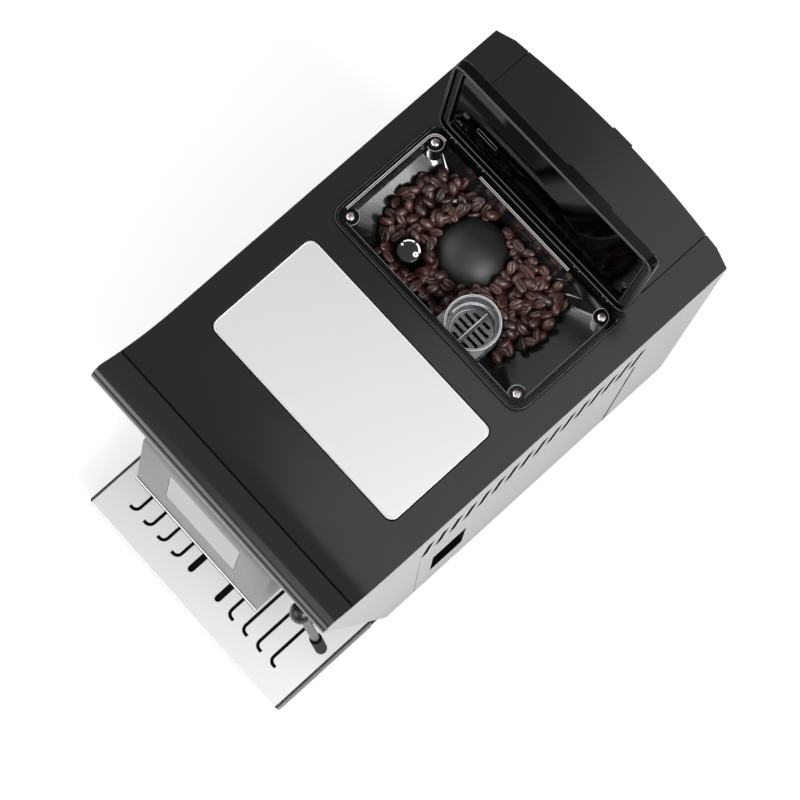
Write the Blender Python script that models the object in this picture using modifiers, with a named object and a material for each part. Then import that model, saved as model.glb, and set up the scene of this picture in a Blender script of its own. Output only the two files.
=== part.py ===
"""Automatic espresso machine with its bean hopper standing open.

Lengths are in metres. Z is up, the front is at -Y, and the origin is the
middle of the footprint on the worktop.
"""

import math

import bmesh
import bpy
from mathutils import Matrix, Vector

MM = 0.001

# Fits and tolerances
GAP = 0.3 * MM
PIN_CLEAR = 0.1 * MM
OVERRUN = 1.0 * MM
WELD = 0.001 * MM
MERGE = 0.01 * MM
SHARP_ANGLE = math.radians(35)

# Overall form
WIDTH = 240 * MM
HALF_WIDTH = WIDTH / 2
MACHINE_FRONT_Y = -228.5 * MM
MACHINE_REAR_Y = 228.5 * MM
COVER_TOP = 342 * MM
SHELL = 3 * MM
BODY_BOTTOM = 5 * MM

# Rear outline, seen from above
REAR_CORNER_Y = 215.4 * MM
SIDE_REAR_Y = REAR_CORNER_Y
CORNER_CUT_INSET = 15.5 * MM
CORNER_CUT_X = HALF_WIDTH - CORNER_CUT_INSET
CORNER_CUT_Y = 220.6 * MM
TANK_GAP_INSET = 27.5 * MM
TANK_GAP_X = HALF_WIDTH - TANK_GAP_INSET
BOW_END_Y = 221.8 * MM
BOW_TOP_Y = 227.3 * MM

# Top cover and front lip
COVER_THICK = 3.5 * MM
RISE_START_Y = -95 * MM
RISE_LENGTH = 63 * MM
RISE_HEIGHT = 20 * MM
RISE_STEPS = 8
SEAM_Y = -141.4 * MM
LIP_STEPS = 4
NOSE_JOIN_Y = -155.5 * MM
NOSE_RADIUS = 8.6 * MM
NOSE_STOP = math.radians(200)
NOSE_STEPS = 8
SKIRT_X = HALF_WIDTH - SHELL - GAP
SKIRT_WALL = 1.6 * MM
SKIRT_DROP = 8 * MM

# Cup plate, let into the cover
CUP_PLATE_MARGIN = 25.5 * MM
CUP_PLATE_X = HALF_WIDTH - CUP_PLATE_MARGIN
CUP_PLATE_FRONT_Y = -82.8 * MM
CUP_PLATE_REAR_Y = 13 * MM
CUP_PLATE_CORNER = 6 * MM
CUP_PLATE_GAP = 0.8 * MM
CUP_RECESS = 1.8 * MM

# Slanted front and fascia
FRONT_LOW_Y = -109 * MM
FRONT_LOW_Z = 15 * MM
FRONT_TOP_Y = -167 * MM
FRONT_TOP_Z = 350 * MM
FRONT_SLOPE = (FRONT_TOP_Y - FRONT_LOW_Y) / (FRONT_TOP_Z - FRONT_LOW_Z)
FASCIA_INSET = 5 * MM
FASCIA_BOTTOM = 8.3 * MM
FASCIA_TOP = 349 * MM
MOUTH_X = 61 * MM
MOUTH_TOP = 97 * MM
SPOUT_SLOT_WIDTH = 18 * MM
SPOUT_SLOT_LOW = 142 * MM
SPOUT_SLOT_HIGH = 223.5 * MM
CABLE_HOLE_X = 15 * MM
CABLE_HOLE_Z = 285 * MM
CABLE_HOLE_R = 5 * MM

# Side vents
VENT_COUNT = 16
VENT_FIRST_Y = -69.6 * MM
VENT_PITCH = 13.9 * MM
VENT_Z = 275 * MM
VENT_HEIGHT = 42 * MM
VENT_WIDTH = 3 * MM
VENT_LEAN = math.radians(8.5)

# Service door with its hinge and grip
DOOR_FRONT_Y = -75.5 * MM
DOOR_BOTTOM = 8.5 * MM
DOOR_TOP = 229.5 * MM
DOOR_GAP = 0.5 * MM
DOOR_AXIS_X = HALF_WIDTH - SHELL / 2
DOOR_AXIS_Y = 143 * MM
DOOR_SWING_GAP = 2 * MM
DOOR_HINGE_HEIGHTS = (46 * MM, 192 * MM)
LUG_HEIGHT = 12 * MM
LUG_NOTCH = 2.2 * MM
LUG_WEB_REACH = 0.5 * MM
PIN_RADIUS = 0.7 * MM
PIN_LENGTH = 28 * MM
GRIP_FRONT_Y = -60 * MM
GRIP_REAR_Y = -25 * MM
GRIP_BOTTOM = 80 * MM
GRIP_TOP = 168 * MM
GRIP_DEPTH = 13 * MM
GRIP_SLOPE = 10 * MM
GRIP_WALL = 1.5 * MM

# Rear panel
REAR_VENT_COUNT = 6
REAR_VENT_LOW = 90 * MM
REAR_VENT_PITCH = 10 * MM
REAR_VENT_INNER_X = 20 * MM
REAR_VENT_OUTER_X = 80 * MM
REAR_VENT_WIDTH = 3.5 * MM

# Mains inlet and switch
MAINS_Z = 35 * MM
INLET_INSET = 50 * MM
INLET_X = INLET_INSET - HALF_WIDTH
INLET_WIDTH = 28 * MM
INLET_HEIGHT = 20 * MM
INLET_DEPTH = 18 * MM
INLET_PROUD = 0.8 * MM
INLET_WALL = 2 * MM
BLADE_THICK = 2 * MM
BLADE_WIDTH = 4 * MM
BLADE_PITCH = 7 * MM
BLADE_RISE = 4 * MM
SWITCH_SPACING = 40 * MM
SWITCH_X = INLET_X + SWITCH_SPACING
SWITCH_WIDTH = 14 * MM
SWITCH_HEIGHT = 22 * MM
ROCKER_DEPTH = 7 * MM
ROCKER_DIP = 1.5 * MM
ROCKER_GAP = 1.2 * MM

# Display housing, window and push buttons
HOUSING_INSET = 53.5 * MM
HOUSING_X = HALF_WIDTH - HOUSING_INSET
HOUSING_BOTTOM = 245 * MM
HOUSING_FACE_TOP = 330 * MM
HOUSING_TOP = 338 * MM
HOUSING_FRONT_Y = -189 * MM
HOUSING_TOP_Y = -170.5 * MM
HOUSING_BROW_Y = -165 * MM
HOUSING_WALL = 3.2 * MM
WINDOW_WIDTH = 73 * MM
WINDOW_HEIGHT = 48 * MM
WINDOW_Z = 296.5 * MM
WINDOW_CORNER = 2 * MM
WINDOW_THICK = 1.5 * MM
WINDOW_LEDGE = 2 * MM
BUTTON_INSET = 30 * MM
BUTTON_X = HALF_WIDTH - BUTTON_INSET
BUTTON_HEIGHTS = (285 * MM,)
BUTTON_RADIUS = 8 * MM
BUTTON_PROUD = 1.5 * MM
BUTTON_EDGE = 0.8 * MM
BUTTON_COLLAR = 1.5 * MM

# Coffee spout
SPOUT_X = 30 * MM
SPOUT_BOTTOM = 145 * MM
SPOUT_TOP = 238 * MM
SPOUT_FRONT_Y = -180 * MM
SPOUT_BROW = 5 * MM
SPOUT_CHIN = 16 * MM
SPOUT_GAP = 0.6 * MM
SPOUT_ROUND = 3 * MM
SPOUT_WALL = 2.6 * MM
SPOUT_FLOOR = 6 * MM
TONGUE_Z = 205 * MM
TONGUE_LENGTH = 36 * MM
TONGUE_PLATE = 3.2 * MM
NOZZLE_X = 12 * MM
NOZZLE_Y = -163 * MM
NOZZLE_RADIUS = 5 * MM
NOZZLE_LENGTH = 6 * MM
NOZZLE_BORE = 2.5 * MM
NOZZLE_TAPER_SHARE = 0.8

# Steam wand
WAND_INSET = 31 * MM
WAND_X = HALF_WIDTH - WAND_INSET
WAND_Z = 239 * MM
WAND_HOSE_R = 3.3 * MM
COLLAR_RADIUS = 12 * MM
COLLAR_FLANGE = 3 * MM
COLLAR_NECK = 7 * MM
COLLAR_LENGTH = 12 * MM
BALL_REACH = 23.2 * MM
BALL_RADIUS = 9 * MM
STUB_SHARE = 0.6
WAND_RADIUS = 3.5 * MM
WAND_SPREAD = 21 * MM
WAND_FORWARD = 3.3 * MM
WAND_DROP = 115 * MM
SLEEVE_RADIUS = 5 * MM
SLEEVE_LENGTH = 35 * MM
SLEEVE_ROUND_ANGLE = math.radians(75)

# Drip tray and its grille
TRAY_INSET = 2.6 * MM
TRAY_X = HALF_WIDTH - TRAY_INSET
TRAY_STEP_Y = -121.5 * MM
TRAY_TAIL_X = 60.4 * MM
TRAY_REAR_Y = -28 * MM
TRAY_BOTTOM = 8 * MM
TRAY_SEAT = 41.5 * MM
TRAY_WALL = 4.5 * MM
TRAY_FLOOR = 3 * MM
GRILLE_INSET = 2.5 * MM
GRILLE_X = TRAY_X - GRILLE_INSET
GRILLE_THICK = 1.5 * MM
GRILLE_BEND = 9.3 * MM
GRILLE_REAR_Y = -122 * MM
TRAY_FRONT_Y = MACHINE_FRONT_Y + GRILLE_THICK + GAP
TRAY_RIM_TOP = TRAY_SEAT + GAP + GRILLE_THICK
HOOKED_SLOTS = 4
SLOT_FIRST_X = 31.5 * MM
SLOT_PITCH = 17.4 * MM
SLOT_WIDTH = 3 * MM
SLOT_END_Y = -206.5 * MM
SLOT_REAR_Y = -125 * MM
SLOT_BEND = 5 * MM
SLOT_HOOK = 9 * MM
WIDE_SLOT_X = 16.8 * MM
WIDE_SLOT_WIDTH = 6 * MM
WIDE_SLOT_END_Y = -205.5 * MM

# Grounds container
BIN_TOP = 90 * MM
BIN_WALL = 2.2 * MM
BIN_REAR_GAP = 7 * MM

# Bean hopper
SHELL_INSET = 25.9 * MM
SHELL_X = HALF_WIDTH - SHELL_INSET
SHELL_FRONT_Y = 35.9 * MM
SHELL_REAR_Y = 132.1 * MM
SHELL_CORNER = 9 * MM
FUNNEL_WALL = 2.2 * MM
FUNNEL_FACET = 20 * MM
HOPPER_TOP = COVER_TOP
HOPPER_BEND = 320 * MM
HOPPER_FLOOR = 290 * MM
THROAT_RING = 32 * MM
THROAT_RADIUS = 25 * MM
SCREW_INSET = 7.6 * MM
SCREW_X = SHELL_X - SCREW_INSET
SCREW_FRONT_Y = 43.2 * MM
SCREW_REAR_Y = 124.8 * MM
SCREW_HEAD = 3.4 * MM
SCREW_HEAD_HIGH = 1.8 * MM
SCREW_SHANK = 1.3 * MM
SCREW_LENGTH = 9 * MM
BOSS_RADIUS = 6 * MM

# Clear frame round the hopper
FRAME_REACH = 4.4 * MM
FRAME_X = SHELL_X + FRAME_REACH
FRAME_FRONT_Y = 31.5 * MM
FRAME_REAR_Y = 136 * MM
FRAME_CORNER = 12 * MM
FRAME_THICK = 1.5 * MM
CHANNEL_DEPTH = 1.4 * MM
LIP_WALL = 1.8 * MM
UPSTAND_WALL = 1.3 * MM
EAR_RADIUS = 6.5 * MM
TAB_LEFT_X = 7 * MM
TAB_RIGHT_X = 48 * MM
TAB_GAP = 0.5 * MM
TAB_REACH = 2.4 * MM
TAB_DEPTH = 6.5 * MM

# Hopper lid and its hinge
LID_OPEN = math.radians(97)
LID_AXIS_Y = 137.2 * MM
LID_AXIS_Z = 347.6 * MM
LID_INSET = 3 * MM
LID_X = FRAME_X - LID_INSET
LID_FRONT_Y = 34.6 * MM
LID_REAR_Y = 133.7 * MM
LID_CORNER = 10 * MM
LID_BOTTOM = 344.1 * MM
LID_TOP = 352.1 * MM
LID_SKIN = 3 * MM
LID_RIM = 1.7 * MM
LID_GROOVE_INSET = 6.8 * MM
LID_GROOVE = 1.2 * MM
LID_RIB = 3 * MM
GASKET_HEIGHT = 1.8 * MM
BARREL_INSET = 19.5 * MM
BARREL_LENGTH = 24 * MM
BARREL_OUTER_X = LID_X - BARREL_INSET
BARREL_INNER_X = BARREL_OUTER_X - BARREL_LENGTH
BARREL_RADIUS = 2 * MM
WEB_LOW_SHARE = 0.65
LUG_WIDTH = 4.7 * MM
LUG_RADIUS = 2.5 * MM
ROD_RADIUS = 1.2 * MM

# Ground coffee chute
CHUTE_X = 27.4 * MM
CHUTE_Y = 56.4 * MM
CHUTE_RADIUS = 20.6 * MM
CHUTE_WALL = 1.5 * MM
CHUTE_TOP = 337 * MM
CHUTE_STEP = 321 * MM
CHUTE_TUBE = 17.4 * MM
CHUTE_CLEAR = 0.5 * MM
CHUTE_FLOOR = 312 * MM
CHUTE_FLOOR_RADIUS = 15.6 * MM
CHUTE_NECK_TOP = 300 * MM
CHUTE_NECK_LOW = 272 * MM
CHUTE_NECK = 8 * MM
CHUTE_BOTTOM = 246 * MM
CHUTE_SLOT_ROWS = 2
CHUTE_SLOT_PITCH = 5.2 * MM
CHUTE_SLOT_WIDTH = 2.6 * MM
CHUTE_SLOT_CIRCLE = 13.2 * MM
CHUTE_RIB = 1.2 * MM
CHUTE_RIB_HIGH = 10 * MM
PLINTH_DROP = 2 * MM

# Grinder
CAP_X = -15 * MM
CAP_Y = 96.5 * MM
CAP_RADIUS = 28.7 * MM
CAP_TOP = 322 * MM
CAP_WALL = 2.5 * MM
CAP_SKIRT = 12 * MM
CAP_STEPS = 7
CAP_NOTCH_WIDTH = 20 * MM
CAP_NOTCH_HIGH = 9 * MM
KNOB_X = -43.6 * MM
KNOB_Y = 60.3 * MM
KNOB_RADIUS = 9 * MM
KNOB_TOP = 327 * MM
KNOB_BOTTOM = 317.5 * MM
KNOB_EDGE = 0.8 * MM
KNOB_BOSS = 5.5 * MM
STEM_RADIUS = 2 * MM
GRINDER_TOP = 283 * MM
GRINDER_RADIUS = 32 * MM
RING_THICK = 4 * MM
PINION_RADIUS = 10 * MM
PINION_THICK = 4 * MM
PINION_TOP = 287.3 * MM
UPPER_BURR_RADIUS = 24 * MM
BURR_BOTTOM = 262 * MM
BURR_MOUTH_LOW = 14 * MM
BURR_MOUTH_HIGH = 20 * MM
BURR_CONE_HIGH = 5 * MM
BURR_CONE_LOW = 12 * MM
BURR_DROP = 1 * MM
BURR_FLUTES = 8
FLUTE_RADIUS = 1.2 * MM
SHAFT_RADIUS = 4 * MM
MOTOR_RADIUS = 28 * MM
MOTOR_BOSS = 8 * MM
MOTOR_BOTTOM = 178 * MM
MOTOR_TAIL = 5 * MM

# Base, feet and inner frame
BASE_TOP = 7.7 * MM
BASE_GAP = 0.6 * MM
BASE_NOSE_INSET = 5.4 * MM
BASE_REAR_Y = 212 * MM
GUIDE_FRONT_Y = -98 * MM
GUIDE_TOP = 39 * MM
FOOT_INSET = 25 * MM
FOOT_X = HALF_WIDTH - FOOT_INSET
FOOT_FRONT_Y = -195 * MM
FOOT_REAR_Y = 190 * MM
FOOT_RADIUS = 11 * MM
FOOT_TAPER = 1.5 * MM
FOOT_STEM = 3 * MM
DECK_TOP = 240 * MM
DECK_THICK = 4 * MM
DECK_FRONT_Y = -138.9 * MM
DECK_REAR_Y = 156 * MM
POST_INSET = 12 * MM
POST_X = HALF_WIDTH - POST_INSET
POST_FRONT_Y = -90 * MM
POST_REAR_Y = 152 * MM
POST_SIZE = 12 * MM
SHELF_REAR_Y = 214 * MM
SHELF_WEB_INSET = 34 * MM
SHELF_WEB_X = HALF_WIDTH - SHELF_WEB_INSET
NOTCH_WIDTH = 28 * MM

# Water tank and its lid
TANK_FRONT_Y = 159 * MM
TANK_WALL_Y = 160.3 * MM
TANK_AXIS_Y = 161.2 * MM
TANK_SIDE_GAP = 1.5 * MM
TANK_X = TANK_GAP_X - TANK_SIDE_GAP
TANK_BOTTOM = 168.3 * MM
TANK_WALL = 2.5 * MM
TANK_REAR_GAP = 1.5 * MM
TANK_LID_THICK = 3.2 * MM
LID_SIDE_GAP = 0.6 * MM
GRIP_TAB_X = 9.5 * MM
VALVE_X = -60 * MM
VALVE_Y = 190 * MM
VALVE_RADIUS = 7 * MM
VALVE_BORE = 3 * MM
VALVE_LENGTH = 10 * MM
EAR_INSET = 9 * MM
EAR_X = TANK_X - EAR_INSET
EAR_WIDTH = 3 * MM
EAR_PIN = 3 * MM
EAR_PIN_RADIUS = 0.9 * MM

# Pump, heater, control board and hoses
PUMP_INSET = 45 * MM
PUMP_X = PUMP_INSET - HALF_WIDTH
PUMP_Z = 36 * MM
PUMP_BARREL = 8 * MM
PUMP_FRONT_Y = 35 * MM
PUMP_REAR_Y = 150 * MM
PUMP_COIL = 20 * MM
PUMP_COIL_FRONT_Y = 50 * MM
PUMP_COIL_REAR_Y = 130 * MM
PUMP_HOSE_Y = 13 * MM
HEATER_INSET = 20 * MM
HEATER_WIDTH = 55 * MM
HEATER_LEFT_X = HEATER_INSET - HALF_WIDTH
HEATER_RIGHT_X = HEATER_LEFT_X + HEATER_WIDTH
HEATER_FRONT_Y = -85 * MM
HEATER_REAR_Y = 0 * MM
HEATER_HIGH = 45 * MM
HEATER_ROUND = 3 * MM
HEATER_RIBS = 6
HEATER_GROOVE = 4 * MM
BOARD_LEFT_X = 20 * MM
BOARD_INSET = 20 * MM
BOARD_RIGHT_X = HALF_WIDTH - BOARD_INSET
BOARD_FRONT_Y = -95 * MM
BOARD_REAR_Y = -10 * MM
BOARD_LIFT = 6 * MM
BOARD_THICK = 1.6 * MM
BOARD_PILLAR = 3 * MM
RELAY_COUNT = 3
RELAY_PITCH = (BOARD_RIGHT_X - BOARD_LEFT_X) / (RELAY_COUNT + 1)
RELAY_LONG = 20 * MM
RELAY_WIDE = 14 * MM
RELAY_HIGH = 16 * MM
HOSE_RADIUS = 3 * MM
HOSE_BEND = 30 * MM
HOSE_STEPS = 4
HOSE_OUT_X = -60 * MM

# Brew unit and its drive
BREW_INSET = 22 * MM
BREW_WIDTH = 88 * MM
BREW_RIGHT_X = HALF_WIDTH - BREW_INSET
BREW_LEFT_X = BREW_RIGHT_X - BREW_WIDTH
BREW_FRONT_Y = 6 * MM
BREW_REAR_Y = 98 * MM
BREW_TOP = 168 * MM
BREW_WALL = 5 * MM
CHAMBER_INSET = 50 * MM
CHAMBER_X = BREW_RIGHT_X - CHAMBER_INSET
CHAMBER_Y = 36 * MM
CHAMBER_RADIUS = 24 * MM
CHAMBER_LOW = 60 * MM
CHAMBER_TOP = 110 * MM
SCREW_Y = 76 * MM
DRIVE_RADIUS = 5 * MM
BEARING_SHARE = 0.6
WHEEL_TOP = 38 * MM
WHEEL_THICK = 6 * MM
WHEEL_RADIUS = 15.8 * MM
MOTOR_PINION = 5.9 * MM
BREW_MOTOR_RADIUS = 12.5 * MM
BREW_MOTOR_TOP = 90 * MM
PISTON_THICK = 12 * MM
PISTON_STEM_RADIUS = 8 * MM
PISTON_STEM = 24 * MM
PISTON_ARM = 12 * MM
ARM_THICK = 7 * MM
NUT_RADIUS = 9 * MM
NUT_OVERHANG = 3 * MM


# The scene and its collections

def clear_scene():
    for thing in list(bpy.data.objects):
        bpy.data.objects.remove(thing, do_unlink=True)
    for old in list(bpy.data.collections):
        bpy.data.collections.remove(old)


def make_collection(name):
    collection = bpy.data.collections.new(name)
    bpy.context.scene.collection.children.link(collection)
    return collection


def material(name, colour, roughness, metallic=0.0, transmission=0.0):
    """A plain surface of one colour, given as linear red, green and blue."""
    made = bpy.data.materials.get(name)
    if made:
        return made
    made = bpy.data.materials.new(name)
    made.use_nodes = True
    made.diffuse_color = (*colour, 1.0)
    shader = made.node_tree.nodes["Principled BSDF"]
    shader.inputs["Base Color"].default_value = (*colour, 1.0)
    shader.inputs["Roughness"].default_value = roughness
    shader.inputs["Metallic"].default_value = metallic
    shader.inputs["Transmission Weight"].default_value = transmission
    return made


def gloss_black():
    return material("gloss black plastic", (0.03, 0.03, 0.032), 0.18)


def matt_black():
    return material("matt black plastic", (0.02, 0.02, 0.022), 0.55)


def silver_paint():
    return material("silver painted steel", (0.5, 0.5, 0.5), 0.35, 0.4)


def bright_steel():
    return material("bright steel", (0.6, 0.6, 0.6), 0.2, 1.0)


def plain_steel():
    return material("zinc plated steel", (0.42, 0.43, 0.45), 0.4, 1.0)


def cast_aluminium():
    return material("cast aluminium", (0.45, 0.46, 0.47), 0.45, 1.0)


def smoked_plastic():
    return material("smoked clear plastic", (0.05, 0.05, 0.055), 0.08, 0.0, 0.7)


def clear_plastic():
    return material("clear plastic", (0.75, 0.77, 0.78), 0.06, 0.0, 0.9)


def grey_plastic():
    return material("grey plastic", (0.32, 0.32, 0.33), 0.4)


def white_ceramic():
    return material("white ceramic", (0.78, 0.77, 0.74), 0.3)


def black_rubber():
    return material("black rubber", (0.015, 0.015, 0.015), 0.8)


def silicone_hose():
    return material("white silicone hose", (0.7, 0.7, 0.68), 0.45)


def green_board():
    return material("green circuit board", (0.02, 0.16, 0.07), 0.5)


# Plain solids

def smooth(thing):
    """Round pieces look round: soft shading up to the sharp edges."""
    thing.data.shade_smooth()
    thing.data.set_sharp_from_angle(angle=SHARP_ANGLE)
    return thing


def put_mesh(name, mesh, matrix=None):
    thing = bpy.data.objects.new(name, mesh)
    if matrix is not None:
        thing.matrix_world = matrix
    PARTS.objects.link(thing)
    return thing


def block(name, low, high):
    """A box between two corners."""
    low = Vector(low)
    high = Vector(high)
    size = high - low
    scale = Matrix.Diagonal((size.x, size.y, size.z, 1.0))
    shape = bmesh.new()
    bmesh.ops.create_cube(shape, size=1.0, matrix=Matrix.Translation((low + high) / 2) @ scale)
    mesh = bpy.data.meshes.new(name)
    shape.to_mesh(mesh)
    shape.free()
    return put_mesh(name, mesh)


TURN_TO = {
    "Z": Matrix.Identity(4),
    "X": Matrix(((0, 0, 1, 0), (1, 0, 0, 0), (0, 1, 0, 0), (0, 0, 0, 1))),
    "Y": Matrix(((1, 0, 0, 0), (0, 0, -1, 0), (0, 1, 0, 0), (0, 0, 0, 1))),
}


def along(axis, value):
    return Vector([value if letter == axis else 0.0 for letter in "XYZ"])


def curve_to_mesh(name, curve, matrix):
    """A curve made into a closed mesh, its caps welded to its sides."""
    carrier = bpy.data.objects.new(name, curve)
    PARTS.objects.link(carrier)
    carrier.matrix_world = matrix
    bpy.context.view_layer.update()
    evaluated = carrier.evaluated_get(bpy.context.evaluated_depsgraph_get())
    mesh = bpy.data.meshes.new_from_object(evaluated)
    mesh.name = name
    shape = bmesh.new()
    shape.from_mesh(mesh)
    bmesh.ops.remove_doubles(shape, verts=shape.verts, dist=WELD)
    bmesh.ops.recalc_face_normals(shape, faces=shape.faces)
    shape.to_mesh(mesh)
    shape.free()
    placed = carrier.matrix_world.copy()
    bpy.data.objects.remove(carrier, do_unlink=True)
    return put_mesh(name, mesh, placed)


def prism(name, outlines, low, high, axis="Z", turn=None):
    """Flat outlines drawn out along an axis; inner outlines are holes.

    Across X an outline is (y, z), across Y it is (x, z), across Z it is (x, y).
    """
    curve = bpy.data.curves.new(name, "CURVE")
    curve.dimensions = "2D"
    curve.fill_mode = "BOTH"
    curve.extrude = (high - low) / 2
    for outline in outlines:
        spline = curve.splines.new("POLY")
        spline.points.add(len(outline) - 1)
        for point, (u, v) in zip(spline.points, outline):
            point.co = (u, v, 0.0, 1.0)
        spline.use_cyclic_u = True
    matrix = Matrix.Translation(along(axis, (low + high) / 2)) @ TURN_TO[axis]
    if turn is not None:
        matrix = turn @ matrix
    return curve_to_mesh(name, curve, matrix)


def drum(name, centre, radius, low, high, axis="Z", steps=24, top_radius=None, turn=None):
    """A cylinder or cone between two heights on its axis."""
    shape = bmesh.new()
    bmesh.ops.create_cone(
        shape, cap_ends=True, segments=steps, radius1=radius,
        radius2=radius if top_radius is None else top_radius, depth=high - low,
    )
    mesh = bpy.data.meshes.new(name)
    shape.to_mesh(mesh)
    shape.free()
    heading = TURN_TO[axis]
    if axis == "Y":
        heading = TURN_TO["Y"] @ Matrix.Rotation(math.pi, 4, "X")
    middle = Vector(centre) + along(axis, (low + high) / 2)
    matrix = Matrix.Translation(middle) @ heading
    if turn is not None:
        matrix = turn @ matrix
    return smooth(put_mesh(name, mesh, matrix))


def turned(name, profile, centre, steps=32, matrix=None, ring=False):
    """A profile of (radius, height) points turned about Z, its outside first.

    The outside runs from the top down; a ring's profile closes on itself.
    """
    shape = bmesh.new()
    points = [shape.verts.new((radius, 0.0, height)) for radius, height in profile]
    for first, second in zip(points, points[1:]):
        shape.edges.new((first, second))
    if ring:
        shape.edges.new((points[-1], points[0]))
    mesh = bpy.data.meshes.new(name)
    shape.to_mesh(mesh)
    shape.free()
    place = Matrix.Translation(Vector(centre))
    if matrix is not None:
        place = place @ matrix
    thing = put_mesh(name, mesh, place)
    screw = thing.modifiers.new("turn", "SCREW")
    screw.axis = "Z"
    screw.angle = math.tau
    screw.steps = steps
    screw.render_steps = steps
    screw.use_merge_vertices = True
    screw.merge_threshold = MERGE
    screw.use_smooth_shade = True
    return thing


def tube(name, points, radius, rounds=2, closed_ends=True):
    """A round wire or hose along a path of points."""
    curve = bpy.data.curves.new(name, "CURVE")
    curve.dimensions = "3D"
    curve.bevel_depth = radius
    curve.bevel_resolution = rounds
    curve.use_fill_caps = closed_ends
    spline = curve.splines.new("POLY")
    spline.points.add(len(points) - 1)
    for knot, place in zip(spline.points, points):
        knot.co = (*place, 1.0)
    return curve_to_mesh(name, curve, Matrix.Identity(4))


def smooth_path(knots, steps):
    """Points on a smooth line that passes through every knot."""
    knots = [Vector(knot) for knot in knots]
    ends = [knots[0] * 2 - knots[1]] + knots + [knots[-1] * 2 - knots[-2]]
    path = []
    for index in range(1, len(ends) - 2):
        before, start, stop, after = ends[index - 1:index + 3]
        for step in range(steps):
            t = step / steps
            path.append(catmull(before, start, stop, after, t))
    path.append(knots[-1])
    return path


def catmull(before, start, stop, after, t):
    pull = (stop - before) * t
    bend = (before * 2 - start * 5 + stop * 4 - after) * t ** 2
    twist = (start * 3 - before - stop * 3 + after) * t ** 3
    return (start * 2 + pull + bend + twist) / 2


# Outlines

def rounded_rectangle(x_low, x_high, y_low, y_high, radius, steps=4):
    """The corners of a rectangle with round corners, anticlockwise."""
    corners = (
        (x_high - radius, y_low + radius, -math.pi / 2),
        (x_high - radius, y_high - radius, 0.0),
        (x_low + radius, y_high - radius, math.pi / 2),
        (x_low + radius, y_low + radius, math.pi),
    )
    outline = []
    for x, y, start in corners:
        outline += arc(x, y, radius, start, start + math.pi / 2, steps)
    return outline


def arc(x, y, radius, start, stop, steps):
    angles = [start + (stop - start) * step / steps for step in range(steps + 1)]
    return [(x + radius * math.cos(a), y + radius * math.sin(a)) for a in angles]


def band(path, half_width):
    """The outline of a strip of even width along a flat path."""
    left = []
    right = []
    for index, (x, y) in enumerate(path):
        before = path[max(index - 1, 0)]
        after = path[min(index + 1, len(path) - 1)]
        run = Vector((after[0] - before[0], after[1] - before[1])).normalized()
        left.append((x - run.y * half_width, y + run.x * half_width))
        right.append((x + run.y * half_width, y - run.x * half_width))
    return right + left[::-1]


def slot_outline(start, stop, half_width, steps=4):
    """A long hole with round ends between two points."""
    run = Vector((stop[0] - start[0], stop[1] - start[1]))
    heading = math.atan2(run.y, run.x)
    quarter = math.pi / 2
    outline = arc(*stop, half_width, heading - quarter, heading + quarter, steps)
    outline += arc(*start, half_width, heading + quarter, heading + 3 * quarter, steps)
    return outline


# Joining and cutting


def operate(thing, other, operation):
    CUTTERS.objects.link(other)
    PARTS.objects.unlink(other)
    other.hide_render = True
    other.display_type = "WIRE"
    change = thing.modifiers.new(operation.lower(), "BOOLEAN")
    change.operation = operation
    change.solver = "EXACT"
    change.object = other
    return thing


def cut(thing, *cutters):
    for cutter in cutters:
        operate(thing, cutter, "DIFFERENCE")
    return thing


def join(thing, *others):
    for other in others:
        operate(thing, other, "UNION")
    return thing


def trim(thing, cutter):
    return operate(thing, cutter, "INTERSECT")


def round_edges(thing, width, segments=2):
    bevel = thing.modifiers.new("round edges", "BEVEL")
    bevel.width = width
    bevel.segments = segments
    bevel.limit_method = "ANGLE"
    bevel.angle_limit = SHARP_ANGLE
    return thing


def finish(thing, surface, pivot=None, carrier=None):
    """Give a piece its surface, its pivot and the piece that carries it."""
    thing.data.materials.clear()
    thing.data.materials.append(surface)
    if pivot is not None:
        placed = thing.matrix_world.copy()
        moved = placed.copy()
        moved.translation = Vector(pivot)
        thing.data.transform(moved.inverted() @ placed)
        thing.matrix_world = moved
    if carrier is not None:
        bpy.context.view_layer.update()
        placed = thing.matrix_world.copy()
        thing.parent = carrier
        thing.matrix_parent_inverse = carrier.matrix_world.inverted()
        thing.matrix_world = placed
    return thing

# Lines that several pieces share

def cover_rise(y):
    """How far along the rise to the front lip a place is: 0 on the flat."""
    return max(0.0, (RISE_START_Y - y) / RISE_LENGTH)


def top_line(y_from, y_to, inset, steps):
    """Points (y, z) of the cover's top, moved square into the machine."""
    points = []
    for step in range(steps + 1):
        y = y_from + (y_to - y_from) * step / steps
        rise = cover_rise(y)
        slope = 2 * RISE_HEIGHT * rise / RISE_LENGTH
        inward = inset / math.hypot(1.0, slope)
        points.append((y - inward * slope, COVER_TOP + RISE_HEIGHT * rise ** 2 - inward))
    return points


def nose_centre():
    """Middle of the rolled nose, which carries on the cover's slope."""
    return top_line(NOSE_JOIN_Y, NOSE_JOIN_Y, NOSE_RADIUS, 1)[0]


def nose_start():
    slope = 2 * RISE_HEIGHT * cover_rise(NOSE_JOIN_Y) / RISE_LENGTH
    return math.atan2(1.0, slope)


def nose_arc(radius, steps):
    return arc(*nose_centre(), radius, nose_start(), NOSE_STOP, steps)


def front_edge(z):
    """Where the side panels' slanted front edge is at a height."""
    return FRONT_LOW_Y + FRONT_SLOPE * (z - FRONT_LOW_Z)


def fascia_face(z):
    return front_edge(z) + FASCIA_INSET


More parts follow.
